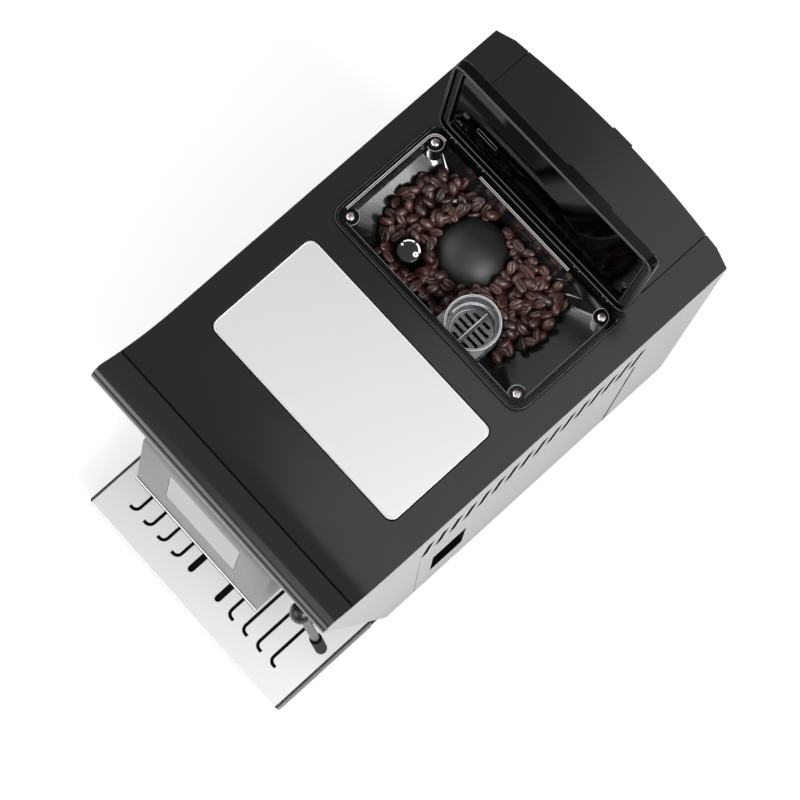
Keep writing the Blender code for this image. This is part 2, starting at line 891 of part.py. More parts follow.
def on_fascia(x, z):
    """A frame on the fascia: local Y runs up it and local Z points out of it."""
    up = Vector((0.0, FRONT_SLOPE, 1.0)).normalized()
    out = Vector((1.0, 0.0, 0.0)).cross(up)
    frame = Matrix.Identity(4)
    frame.col[1] = (*up, 0.0)
    frame.col[2] = (*out, 0.0)
    frame.col[3] = (x, fascia_face(z), z, 1.0)
    return frame


def back_edge(x):
    """Where the machine's back is: bowed in the middle, cut at the corners."""
    x = abs(x)
    if x > CORNER_CUT_X:
        share = (x - CORNER_CUT_X) / (HALF_WIDTH - CORNER_CUT_X)
        return CORNER_CUT_Y + (REAR_CORNER_Y - CORNER_CUT_Y) * share
    if x > TANK_GAP_X:
        share = (x - TANK_GAP_X) / (CORNER_CUT_X - TANK_GAP_X)
        return BOW_END_Y + (CORNER_CUT_Y - BOW_END_Y) * share
    return BOW_TOP_Y + (BOW_END_Y - BOW_TOP_Y) * (x / TANK_GAP_X) ** 2


def back_points(half_width, inset, steps=12):
    """Points on the back from left to right, moved forwards by an inset."""
    places = [half_width * (2 * step / steps - 1) for step in range(steps + 1)]
    return [(x, back_edge(x) - inset) for x in places]


def back_outline():
    """The whole back from left to right, with its corners."""
    outer = [(-HALF_WIDTH, REAR_CORNER_Y), (-CORNER_CUT_X, CORNER_CUT_Y)]
    outer += back_points(TANK_GAP_X, 0.0)
    outer += [(CORNER_CUT_X, CORNER_CUT_Y), (HALF_WIDTH, REAR_CORNER_Y)]
    return outer


# Outer shells

def side_outline():
    """The side panel: under the cover and the lip, down the slanted front."""
    seat = COVER_THICK + GAP
    y, z = nose_centre()
    run = Vector((math.cos(NOSE_STOP), math.sin(NOSE_STOP)))
    drop = Vector((-run.y, run.x)) * GAP
    reach = front_edge(z + drop.y) - y - drop.x
    reach /= run.x - FRONT_SLOPE * run.y
    outline = [(SIDE_REAR_Y, BODY_BOTTOM), (front_edge(BODY_BOTTOM), BODY_BOTTOM)]
    outline.append((y + drop.x + run.x * reach, z + drop.y + run.y * reach))
    inner = NOSE_RADIUS - seat
    outline.append((y + drop.x + run.x * inner, z + drop.y + run.y * inner))
    outline += nose_arc(inner, NOSE_STEPS)[-2::-1]
    outline += top_line(NOSE_JOIN_Y, RISE_START_Y, seat, RISE_STEPS)[1:]
    outline.append((SIDE_REAR_Y, COVER_TOP - seat))
    return outline


def vent_cutter():
    """All slanted vent slots of one panel, to be cut out together."""
    lean = VENT_HEIGHT / 2 * math.tan(VENT_LEAN)
    outlines = []
    for index in range(VENT_COUNT):
        y = VENT_FIRST_Y + VENT_PITCH * index
        foot = (y - lean, VENT_Z - VENT_HEIGHT / 2)
        head = (y + lean, VENT_Z + VENT_HEIGHT / 2)
        outlines.append(band([foot, head], VENT_WIDTH / 2))
    return outlines


def side_panel(name, side):
    x_inner = side * (HALF_WIDTH - SHELL)
    x_outer = side * HALF_WIDTH
    low, high = sorted((x_inner, x_outer))
    panel = prism(name, [side_outline()], low, high, "X")
    cut(panel, prism("vent_cutter", vent_cutter(), low - OVERRUN, high + OVERRUN, "X"))
    return panel


def left_side_panel():
    return finish(side_panel("left_side_panel", -1), silver_paint())


def right_side_panel():
    """The right panel frames the service door and carries its hinge lugs."""
    panel = side_panel("right_side_panel", 1)
    low = HALF_WIDTH - SHELL
    opening = [
        (DOOR_FRONT_Y - DOOR_GAP, DOOR_BOTTOM - DOOR_GAP),
        (DOOR_AXIS_Y + DOOR_SWING_GAP, DOOR_BOTTOM - DOOR_GAP),
        (DOOR_AXIS_Y + DOOR_SWING_GAP, DOOR_TOP + DOOR_GAP),
        (DOOR_FRONT_Y - DOOR_GAP, DOOR_TOP + DOOR_GAP),
    ]
    cut(panel, prism("door_opening", [opening], low - OVERRUN, HALF_WIDTH + OVERRUN, "X"))
    for z in DOOR_HINGE_HEIGHTS:
        bottom = z - LUG_HEIGHT / 2
        top = z + LUG_HEIGHT / 2
        web = block(
            "lug_web",
            (low, DOOR_AXIS_Y, bottom),
            (DOOR_AXIS_X + LUG_WEB_REACH, DOOR_AXIS_Y + DOOR_SWING_GAP + OVERRUN, top),
        )
        eye = drum("lug_eye", (DOOR_AXIS_X, DOOR_AXIS_Y, 0.0), SHELL / 2, bottom, top, steps=16)
        bore = drum(
            "lug_bore", (DOOR_AXIS_X, DOOR_AXIS_Y, 0.0), PIN_RADIUS + PIN_CLEAR,
            bottom - OVERRUN, top + OVERRUN, steps=12,
        )
        join(panel, web, eye)
        cut(panel, bore)
    return finish(panel, silver_paint())


def service_door():
    """A flush door with a rounded hinge edge and a sunk finger grip."""
    low = HALF_WIDTH - SHELL
    plan = [(low, DOOR_FRONT_Y), (HALF_WIDTH, DOOR_FRONT_Y)]
    plan += arc(DOOR_AXIS_X, DOOR_AXIS_Y, SHELL / 2, 0.0, math.pi, 8)
    door = prism("service_door", [plan], DOOR_BOTTOM, DOOR_TOP)
    pocket_plan = [
        (HALF_WIDTH + OVERRUN, GRIP_FRONT_Y - OVERRUN),
        (HALF_WIDTH + OVERRUN, GRIP_REAR_Y),
        (HALF_WIDTH - GRIP_DEPTH, GRIP_REAR_Y),
        (HALF_WIDTH - GRIP_DEPTH, GRIP_FRONT_Y + GRIP_SLOPE),
        (HALF_WIDTH, GRIP_FRONT_Y),
    ]
    pan_plan = [
        (HALF_WIDTH - SHELL / 2, GRIP_FRONT_Y - GRIP_WALL),
        (HALF_WIDTH - SHELL / 2, GRIP_REAR_Y + GRIP_WALL),
        (HALF_WIDTH - GRIP_DEPTH - GRIP_WALL, GRIP_REAR_Y + GRIP_WALL),
        (HALF_WIDTH - GRIP_DEPTH - GRIP_WALL, GRIP_FRONT_Y + GRIP_SLOPE - GRIP_WALL),
    ]
    join(door, prism("grip_pan", [pan_plan], GRIP_BOTTOM - GRIP_WALL, GRIP_TOP + GRIP_WALL))
    cut(door, prism("grip_pocket", [pocket_plan], GRIP_BOTTOM, GRIP_TOP))
    for z in DOOR_HINGE_HEIGHTS:
        half = LUG_HEIGHT / 2 + GAP
        cut(door, block(
            "lug_notch",
            (low - OVERRUN, DOOR_AXIS_Y - LUG_NOTCH, z - half),
            (HALF_WIDTH + OVERRUN, DOOR_AXIS_Y + SHELL, z + half),
        ))
        cut(door, drum(
            "door_bore", (DOOR_AXIS_X, DOOR_AXIS_Y, 0.0), PIN_RADIUS + PIN_CLEAR,
            z - PIN_LENGTH / 2 - GAP, z + PIN_LENGTH / 2 + GAP, steps=12,
        ))
    return finish(door, silver_paint(), (DOOR_AXIS_X, DOOR_AXIS_Y, DOOR_BOTTOM))


def door_hinge_pins():
    for place, z in zip(("lower", "upper"), DOOR_HINGE_HEIGHTS):
        pin = drum(
            f"door_hinge_pin_{place}", (DOOR_AXIS_X, DOOR_AXIS_Y, 0.0), PIN_RADIUS,
            z - PIN_LENGTH / 2, z + PIN_LENGTH / 2, steps=12,
        )
        finish(pin, bright_steel())


def rear_panel():
    """The bowed back, with vents, and holes for the inlet and the switch."""
    outer = back_outline()
    edge = SIDE_REAR_Y + GAP
    outer[0] = (-HALF_WIDTH, edge)
    outer[-1] = (HALF_WIDTH, edge)
    taper = (CORNER_CUT_Y - edge - SHELL) / (CORNER_CUT_Y - edge)
    x_end = CORNER_CUT_X + (HALF_WIDTH - CORNER_CUT_X) * taper
    inner = [(-x_end, edge), (-CORNER_CUT_X, CORNER_CUT_Y - SHELL)]
    inner += back_points(TANK_GAP_X, SHELL)
    inner += [(CORNER_CUT_X, CORNER_CUT_Y - SHELL), (x_end, edge)]
    panel = prism("rear_panel", [outer + inner[::-1]], BODY_BOTTOM, COVER_TOP - COVER_THICK - GAP)
    y_low = edge - OVERRUN
    y_high = BOW_TOP_Y + OVERRUN
    slots = []
    for row in range(REAR_VENT_COUNT):
        z = REAR_VENT_LOW + REAR_VENT_PITCH * row
        for side in (-1, 1):
            ends = sorted((side * REAR_VENT_INNER_X, side * REAR_VENT_OUTER_X))
            slots.append(slot_outline((ends[0], z), (ends[1], z), REAR_VENT_WIDTH / 2, 3))
    cut(panel, prism("rear_vents", slots, y_low, y_high, "Y"))
    for x, width, height in (
        (INLET_X, INLET_WIDTH, INLET_HEIGHT),
        (SWITCH_X, SWITCH_WIDTH, SWITCH_HEIGHT),
    ):
        cut(panel, block(
            "socket_hole",
            (x - width / 2 - GAP, y_low, MAINS_Z - height / 2 - GAP),
            (x + width / 2 + GAP, y_high, MAINS_Z + height / 2 + GAP),
        ))
    return finish(panel, matt_black())


def top_cover():
    """A gloss deck that sweeps up to the lip, with its three openings."""
    outline = top_line(BOW_TOP_Y + OVERRUN, RISE_START_Y, 0.0, 1)
    outline += top_line(RISE_START_Y, SEAM_Y, 0.0, RISE_STEPS)[1:]
    outline += top_line(SEAM_Y, RISE_START_Y, COVER_THICK, RISE_STEPS)
    outline += top_line(RISE_START_Y, BOW_TOP_Y + OVERRUN, COVER_THICK, 1)[1:]
    cover = prism("top_cover", [outline], -HALF_WIDTH, HALF_WIDTH, "X")
    plan = back_outline() + [(HALF_WIDTH, SEAM_Y - NOSE_RADIUS), (-HALF_WIDTH, SEAM_Y - NOSE_RADIUS)]
    under = COVER_TOP - SKIRT_DROP - OVERRUN
    trim(cover, prism("cover_plan", [plan], under, COVER_TOP + RISE_HEIGHT + OVERRUN))
    for side in (-1, 1):
        ends = sorted((side * SKIRT_X, side * (SKIRT_X - SKIRT_WALL)))
        join(cover, block(
            "skirt",
            (ends[0], RISE_START_Y, COVER_TOP - SKIRT_DROP),
            (ends[1], TANK_FRONT_Y, COVER_TOP - COVER_THICK / 2),
        ))
    recess = rounded_rectangle(
        -CUP_PLATE_X - CUP_PLATE_GAP, CUP_PLATE_X + CUP_PLATE_GAP,
        CUP_PLATE_FRONT_Y - CUP_PLATE_GAP, CUP_PLATE_REAR_Y + CUP_PLATE_GAP,
        CUP_PLATE_CORNER + CUP_PLATE_GAP,
    )
    cut(cover, prism("plate_recess", [recess], COVER_TOP - CUP_RECESS, COVER_TOP + OVERRUN))
    hopper = rounded_rectangle(
        -SHELL_X - GAP, SHELL_X + GAP, SHELL_FRONT_Y - GAP, SHELL_REAR_Y + GAP, SHELL_CORNER,
    )
    cut(cover, prism("hopper_hole", [hopper], under, COVER_TOP + OVERRUN))
    cut(cover, block(
        "tank_hole",
        (-TANK_GAP_X, TANK_FRONT_Y, under),
        (TANK_GAP_X, BOW_TOP_Y + OVERRUN, COVER_TOP + OVERRUN),
    ))
    return finish(cover, gloss_black())


def front_lip():
    """The strip that rolls over from the cover into a rounded nose."""
    start = SEAM_Y - GAP
    outline = top_line(start, NOSE_JOIN_Y, 0.0, LIP_STEPS)
    outline += nose_arc(NOSE_RADIUS, NOSE_STEPS)[1:]
    outline += nose_arc(NOSE_RADIUS - COVER_THICK, NOSE_STEPS)[::-1]
    outline += top_line(NOSE_JOIN_Y, start, COVER_THICK, LIP_STEPS)[1:]
    return finish(prism("front_lip", [outline], -HALF_WIDTH, HALF_WIDTH, "X"), gloss_black())


def cup_plate():
    outline = rounded_rectangle(
        -CUP_PLATE_X, CUP_PLATE_X, CUP_PLATE_FRONT_Y, CUP_PLATE_REAR_Y, CUP_PLATE_CORNER,
    )
    bottom = COVER_TOP - CUP_RECESS + GAP
    return finish(prism("cup_plate", [outline], bottom, COVER_TOP), bright_steel())


def front_fascia():
    """The leaning front wall behind the panels' edges, with its openings."""
    ends = (FASCIA_BOTTOM, FASCIA_TOP)
    outline = [(fascia_face(z), z) for z in ends]
    outline += [(fascia_face(z) + SHELL, z) for z in reversed(ends)]
    half = HALF_WIDTH - SHELL - GAP
    wall = prism("front_fascia", [outline], -half, half, "X")
    y_low = fascia_face(FASCIA_TOP) - OVERRUN
    y_high = fascia_face(FASCIA_BOTTOM) + SHELL + OVERRUN
    mouth = [
        (-MOUTH_X, FASCIA_BOTTOM - OVERRUN), (MOUTH_X, FASCIA_BOTTOM - OVERRUN),
        (MOUTH_X, MOUTH_TOP), (-MOUTH_X, MOUTH_TOP),
    ]
    cut(wall, prism("mouth", [mouth], y_low, y_high, "Y"))
    slot = slot_outline((0.0, SPOUT_SLOT_LOW), (0.0, SPOUT_SLOT_HIGH), SPOUT_SLOT_WIDTH / 2, 6)
    cable = slot_outline((-CABLE_HOLE_X, CABLE_HOLE_Z), (CABLE_HOLE_X, CABLE_HOLE_Z), CABLE_HOLE_R, 4)
    cut(wall, prism("spout_slot", [slot, cable], y_low, y_high, "Y"))
    holes = [(x, z, BUTTON_RADIUS + GAP) for x, z in button_places()]
    holes.append((WAND_X, WAND_Z, WAND_HOSE_R + GAP))
    for x, z, radius in holes:
        cut(wall, drum(
            "fascia_hole", (0.0, 0.0, 0.0), radius, -SHELL * 2, SHELL, steps=20, turn=on_fascia(x, z),
        ))
    return finish(wall, matt_black())


def button_places():
    return [(side * BUTTON_X, z) for side in (-1, 1) for z in BUTTON_HEIGHTS]


def push_buttons():
    """Round keys with a collar behind the fascia that keeps them in."""
    for number, (x, z) in enumerate(button_places(), start=1):
        profile = [
            (0.0, BUTTON_PROUD),
            (BUTTON_RADIUS - BUTTON_EDGE, BUTTON_PROUD),
            (BUTTON_RADIUS, BUTTON_PROUD - BUTTON_EDGE),
            (BUTTON_RADIUS, -SHELL - GAP),
            (BUTTON_RADIUS + BUTTON_COLLAR, -SHELL - GAP),
            (BUTTON_RADIUS + BUTTON_COLLAR, -SHELL - GAP - BUTTON_COLLAR),
            (0.0, -SHELL - GAP - BUTTON_COLLAR),
        ]
        button = turned(f"push_button_{number}", profile, (0.0, 0.0, 0.0), steps=20)
        button.matrix_world = on_fascia(x, z)
        finish(button, grey_plastic())


def display_outline(inset):
    """The display housing from the side, shrunk by an inset."""
    low = HOUSING_BOTTOM + inset
    high = HOUSING_TOP - inset
    run = (HOUSING_TOP_Y - HOUSING_FRONT_Y) / (HOUSING_FACE_TOP - HOUSING_BOTTOM)
    front_low = HOUSING_FRONT_Y + run * inset + inset
    front_high = HOUSING_FRONT_Y + run * (HOUSING_FACE_TOP - HOUSING_BOTTOM) + inset
    return [
        (fascia_face(low) - GAP, low),
        (front_low, low),
        (front_high, HOUSING_FACE_TOP),
        (HOUSING_BROW_Y + inset, high),
        (fascia_face(high) - GAP, high),
    ]


def window_frame():
    """A frame on the housing's face: local Y runs up it, local Z out of it."""
    up = Vector((0.0, HOUSING_TOP_Y - HOUSING_FRONT_Y, HOUSING_FACE_TOP - HOUSING_BOTTOM)).normalized()
    out = Vector((1.0, 0.0, 0.0)).cross(up)
    share = (WINDOW_Z - HOUSING_BOTTOM) / (HOUSING_FACE_TOP - HOUSING_BOTTOM)
    y = HOUSING_FRONT_Y + (HOUSING_TOP_Y - HOUSING_FRONT_Y) * share
    frame = Matrix.Identity(4)
    frame.col[1] = (*up, 0.0)
    frame.col[2] = (*out, 0.0)
    frame.col[3] = (0.0, y, WINDOW_Z, 1.0)
    return frame


def window_outline(gap):
    return rounded_rectangle(
        -WINDOW_WIDTH / 2 - gap, WINDOW_WIDTH / 2 + gap,
        -WINDOW_HEIGHT / 2 - gap, WINDOW_HEIGHT / 2 + gap, WINDOW_CORNER,
    )


def display_housing():
    """A wedge that juts from the fascia, hollow and open to the back."""
    housing = prism("display_housing", [display_outline(0.0)], -HOUSING_X, HOUSING_X, "X")
    hollow = display_outline(HOUSING_WALL)
    hollow[0] = (hollow[0][0] + HOUSING_WALL, hollow[0][1])
    hollow[-1] = (hollow[-1][0] + HOUSING_WALL, hollow[-1][1])
    inside = HOUSING_X - HOUSING_WALL
    cut(housing, prism("housing_hollow", [hollow], -inside, inside, "X"))
    cut(housing, prism(
        "window_seat", [window_outline(GAP)], -WINDOW_THICK - GAP, OVERRUN, turn=window_frame(),
    ))
    view = rounded_rectangle(
        -WINDOW_WIDTH / 2 + WINDOW_LEDGE, WINDOW_WIDTH / 2 - WINDOW_LEDGE,
        -WINDOW_HEIGHT / 2 + WINDOW_LEDGE, WINDOW_HEIGHT / 2 - WINDOW_LEDGE, WINDOW_CORNER,
    )
    cut(housing, prism("window_view", [view], -HOUSING_WALL * 3, OVERRUN, turn=window_frame()))
    return finish(housing, grey_plastic())


def display_window():
    window = prism("display_window", [window_outline(0.0)], -WINDOW_THICK, 0.0, turn=window_frame())
    return finish(window, clear_plastic())


# The drip tray and what it carries

def tray_plan(inset):
    """Full width in front, with a narrower tail that goes under the machine."""
    x = TRAY_X - inset
    tail = TRAY_TAIL_X - inset
    return [
        (-x, TRAY_FRONT_Y + inset), (x, TRAY_FRONT_Y + inset), (x, TRAY_STEP_Y - inset),
        (tail, TRAY_STEP_Y - inset), (tail, TRAY_REAR_Y - inset),
        (-tail, TRAY_REAR_Y - inset), (-tail, TRAY_STEP_Y - inset), (-x, TRAY_STEP_Y - inset),
    ]


def drip_tray():
    tray = prism("drip_tray", [tray_plan(0.0)], TRAY_BOTTOM, TRAY_RIM_TOP)
    hollow = tray_plan(TRAY_WALL)
    cut(tray, prism("tray_hollow", [hollow], TRAY_BOTTOM + TRAY_FLOOR, TRAY_RIM_TOP + OVERRUN))
    cut(tray, block(
        "grille_seat",
        (-GRILLE_X - GAP, TRAY_FRONT_Y - OVERRUN, TRAY_SEAT),
        (GRILLE_X + GAP, TRAY_REAR_Y + OVERRUN, TRAY_RIM_TOP + OVERRUN),
    ))
    return finish(tray, matt_black(), (0.0, TRAY_FRONT_Y, TRAY_BOTTOM))


def hooked_slot(x, side):
    """A long slot that ends in front in a hook turned outwards."""
    half = SLOT_WIDTH / 2
    line = SLOT_END_Y + half
    start = math.pi if side > 0 else 0.0
    bend = arc(x + side * SLOT_BEND, line + SLOT_BEND, SLOT_BEND, start, start + side * math.pi / 2, 5)
    path = [(x, SLOT_REAR_Y)] + bend + [(x + side * (SLOT_HOOK - half), line)]
    return band(path, half)


def drip_grille(tray):
    """A polished plate, bent down in front, with five slots on each side."""
    top = TRAY_SEAT + GAP + GRILLE_THICK
    outline = [
        (GRILLE_REAR_Y, top), (GRILLE_REAR_Y, top - GRILLE_THICK),
        (MACHINE_FRONT_Y + GRILLE_THICK, top - GRILLE_THICK),
        (MACHINE_FRONT_Y + GRILLE_THICK, top - GRILLE_BEND),
        (MACHINE_FRONT_Y, top - GRILLE_BEND), (MACHINE_FRONT_Y, top),
    ]
    grille = prism("drip_grille", [outline], -GRILLE_X, GRILLE_X, "X")
    slots = []
    for side in (-1, 1):
        for index in range(HOOKED_SLOTS):
            slots.append(hooked_slot(side * (SLOT_FIRST_X + SLOT_PITCH * index), side))
        x = side * WIDE_SLOT_X
        half = WIDE_SLOT_WIDTH / 2
        slots.append(slot_outline((x, WIDE_SLOT_END_Y + half), (x, SLOT_REAR_Y - half), half))
    cut(grille, prism("grille_slots", slots, top - GRILLE_THICK - OVERRUN, top + OVERRUN))
    return finish(grille, bright_steel(), (0.0, GRILLE_REAR_Y, top), tray)


def grounds_container(tray):
    """A bin on the tray's tail whose front closes the mouth of the fascia."""
    low = TRAY_SEAT + GAP
    high = MOUTH_TOP - GAP
    front = [
        (fascia_face(low), low), (fascia_face(high), high),
        (fascia_face(high) + SHELL, high), (fascia_face(low) + SHELL, low),
    ]
    half = MOUTH_X - GAP
    bin_x = TRAY_TAIL_X - TRAY_WALL
    container = prism("grounds_container", [front], -half, half, "X")
    rear = TRAY_REAR_Y - BIN_REAR_GAP
    outer = [
        (fascia_face(low) + OVERRUN, low), (fascia_face(BIN_TOP) + OVERRUN, BIN_TOP),
        (rear, BIN_TOP), (rear, low),
    ]
    inner = [
        (fascia_face(low) + SHELL, low + BIN_WALL),
        (fascia_face(BIN_TOP + OVERRUN) + SHELL, BIN_TOP + OVERRUN),
        (rear - BIN_WALL, BIN_TOP + OVERRUN), (rear - BIN_WALL, low + BIN_WALL),
    ]
    join(container, prism("bin", [outer], -bin_x, bin_x, "X"))
    join(container, block(
        "bin_foot",
        (-TRAY_TAIL_X, fascia_face(low) + OVERRUN, low),
        (TRAY_TAIL_X, TRAY_REAR_Y, low + BIN_WALL),
    ))
    cut(container, prism("bin_hollow", [inner], BIN_WALL - bin_x, bin_x - BIN_WALL, "X"))
    return finish(container, matt_black(), (0.0, rear, low), tray)


# The coffee spout and the steam wand

def spout_back(z):
    return fascia_face(z) - SPOUT_GAP


def coffee_spout():
    """A hollow block that slides on the fascia, held by a tongue through its slot."""
    outline = [
        (spout_back(SPOUT_BOTTOM), SPOUT_BOTTOM), (spout_back(SPOUT_TOP), SPOUT_TOP),
        (SPOUT_FRONT_Y + SPOUT_BROW, SPOUT_TOP), (SPOUT_FRONT_Y, SPOUT_TOP - SPOUT_BROW),
        (SPOUT_FRONT_Y, SPOUT_BOTTOM + SPOUT_CHIN), (SPOUT_FRONT_Y + SPOUT_CHIN / 2, SPOUT_BOTTOM),
    ]
    spout = prism("coffee_spout", [outline], -SPOUT_X, SPOUT_X, "X")
    round_edges(spout, SPOUT_ROUND)
    place = on_fascia(0.0, TONGUE_Z)
    wide = SPOUT_SLOT_WIDTH / 2 - GAP
    back = -SHELL - GAP
    for name, half_width, low, high in (
        ("tongue", wide, back - TONGUE_PLATE, SPOUT_GAP * 3),
        ("tongue_plate", wide + TONGUE_PLATE, back - TONGUE_PLATE, back),
    ):
        outline = [
            (-half_width, -TONGUE_LENGTH / 2), (half_width, -TONGUE_LENGTH / 2),
            (half_width, TONGUE_LENGTH / 2), (-half_width, TONGUE_LENGTH / 2),
        ]
        join(spout, prism(name, [outline], low, high, turn=place))
    floor = SPOUT_BOTTOM + SPOUT_FLOOR
    for side in (-1, 1):
        edges = sorted((side * SPOUT_SLOT_WIDTH / 2, side * (SPOUT_X - SPOUT_WALL)))
        cut(spout, block(
            "spout_room",
            (edges[0], SPOUT_FRONT_Y + SPOUT_BROW + SPOUT_WALL, floor),
            (edges[1], spout_back(SPOUT_BOTTOM) + OVERRUN, SPOUT_TOP - SPOUT_WALL),
        ))
        cut(spout, drum(
            "coffee_way", (side * NOZZLE_X, NOZZLE_Y, 0.0), NOZZLE_BORE,
            SPOUT_BOTTOM - OVERRUN, floor + OVERRUN,
        ))
    return finish(spout, matt_black(), (0.0, NOZZLE_Y, SPOUT_BOTTOM))


def spout_nozzles(spout):
    for name, side in (("left", -1), ("right", 1)):
        top = SPOUT_BOTTOM - GAP
        profile = [
            (NOZZLE_RADIUS, top), (NOZZLE_RADIUS, top - NOZZLE_LENGTH / 2),
            (NOZZLE_RADIUS * NOZZLE_TAPER_SHARE, top - NOZZLE_LENGTH),
            (NOZZLE_BORE, top - NOZZLE_LENGTH), (NOZZLE_BORE, top),
        ]
        nozzle = turned(
            f"spout_nozzle_{name}", profile, (side * NOZZLE_X, NOZZLE_Y, 0.0), steps=20, ring=True,
        )
        finish(nozzle, bright_steel(), (side * NOZZLE_X, NOZZLE_Y, top), spout)


def steam_collar():
    """The fixed flange on the fascia that the wand turns in."""
    profile = [
        (0.0, COLLAR_LENGTH), (COLLAR_NECK, COLLAR_LENGTH), (COLLAR_NECK, COLLAR_FLANGE + GAP),
        (COLLAR_RADIUS, COLLAR_FLANGE + GAP), (COLLAR_RADIUS, GAP), (0.0, GAP),
    ]
    collar = turned("steam_collar", profile, (0.0, 0.0, 0.0), steps=24)
    collar.matrix_world = on_fascia(WAND_X, WAND_Z)
    return finish(collar, plain_steel())


def wand_ball():
    return on_fascia(WAND_X, WAND_Z) @ Vector((0.0, 0.0, BALL_REACH))


def wand_tip():
    return wand_ball() + Vector((WAND_SPREAD, -WAND_FORWARD, -WAND_DROP))


def wand_start():
    """Where the wand's bend below the ball ends and its straight run starts."""
    return wand_ball() + Vector((0.0, 0.0, -BALL_RADIUS * 2))


def steam_wand():
    """A ball elbow and a thin tube that hangs down beside the cup."""
    frame = on_fascia(WAND_X, WAND_Z)
    ball = wand_ball()
    wand = smooth_ball("steam_wand", ball, BALL_RADIUS)
    stub = drum(
        "wand_stub", (0.0, 0.0, 0.0), COLLAR_NECK * STUB_SHARE, COLLAR_LENGTH + GAP, BALL_REACH,
        steps=20, turn=frame,
    )
    start = wand_start()
    tip = wand_tip()
    path = smooth_path([ball, start, (start + tip) / 2, tip], 4)
    join(wand, stub, tube("wand_tube", path, WAND_RADIUS))
    return finish(wand, bright_steel(), ball)


def smooth_ball(name, centre, radius):
    shape = bmesh.new()
    bmesh.ops.create_uvsphere(shape, u_segments=24, v_segments=14, radius=radius)
    mesh = bpy.data.meshes.new(name)
    shape.to_mesh(mesh)
    shape.free()
    return smooth(put_mesh(name, mesh, Matrix.Translation(centre)))


def froth_sleeve(wand):
    """A round ended sleeve round the wand's tip, with a small steam hole."""
    run = (wand_tip() - wand_start()).normalized()
    bore = WAND_RADIUS + GAP
    turn = (-run).to_track_quat("Z", "Y").to_matrix().to_4x4()
    end = -SLEEVE_RADIUS
    profile = [(SLEEVE_RADIUS, SLEEVE_LENGTH + end)]
    profile += arc(0.0, 0.0, SLEEVE_RADIUS, 0.0, -SLEEVE_ROUND_ANGLE, 5)
    hole = SLEEVE_RADIUS * math.cos(SLEEVE_ROUND_ANGLE)
    profile += [(hole, -GAP), (bore, -GAP), (bore, SLEEVE_LENGTH + end)]
    sleeve = turned("froth_sleeve", profile, wand_tip(), steps=20, matrix=turn, ring=True)
    return finish(sleeve, matt_black(), wand_tip(), wand)


# The bean hopper, its frame and its lid

def frame_outline(inset):
    return rounded_rectangle(
        -FRAME_X + inset, FRAME_X - inset, FRAME_FRONT_Y + inset, FRAME_REAR_Y - inset,
        max(FRAME_CORNER - inset, FRAME_CORNER / 3),
    )


def shell_outline(inset):
    return rounded_rectangle(
        -SHELL_X + inset, SHELL_X - inset, SHELL_FRONT_Y + inset, SHELL_REAR_Y - inset,
        SHELL_CORNER - inset / 2,
    )


def screw_places():
    return [(side * SCREW_X, y) for y in (SCREW_FRONT_Y, SCREW_REAR_Y) for side in (-1, 1)]


def divided(outline, longest):
    """An outline with its long edges split, so that it can turn into a circle."""
    points = []
    for index, (x, y) in enumerate(outline):
        next_x, next_y = outline[(index + 1) % len(outline)]
        pieces = max(1, math.ceil(math.hypot(next_x - x, next_y - y) / longest))
        for piece in range(pieces):
            share = piece / pieces
            points.append((x + (next_x - x) * share, y + (next_y - y) * share))
    return points


def ring_round_cap(outline, radius, z):
    """A circle round the grinder cap with one point for each outline point."""
    points = []
    for x, y in outline:
        angle = math.atan2(y - CAP_Y, x - CAP_X)
        points.append((CAP_X + radius * math.cos(angle), CAP_Y + radius * math.sin(angle), z))
    return points


def loft(name, rings):
    """A closed skin through rings of equal counts, from the top down."""
    shape = bmesh.new()
    rows = [[shape.verts.new(point) for point in ring] for ring in rings]
    for upper, lower in zip(rows, rows[1:]):
        for index in range(len(upper)):
            after = (index + 1) % len(upper)
            shape.faces.new((upper[index], upper[after], lower[after], lower[index]))
    shape.faces.new(rows[0])
    shape.faces.new(rows[-1][::-1])
    bmesh.ops.recalc_face_normals(shape, faces=shape.faces)
    mesh = bpy.data.meshes.new(name)
    shape.to_mesh(mesh)
    shape.free()
    return put_mesh(name, mesh)


def funnel(name, inset, top, bend, floor, radius):
    outline = divided(shell_outline(inset), FUNNEL_FACET)
    return loft(name, [
        [(x, y, top) for x, y in outline],
        [(x, y, bend) for x, y in outline],
        ring_round_cap(outline, radius, floor),
    ])


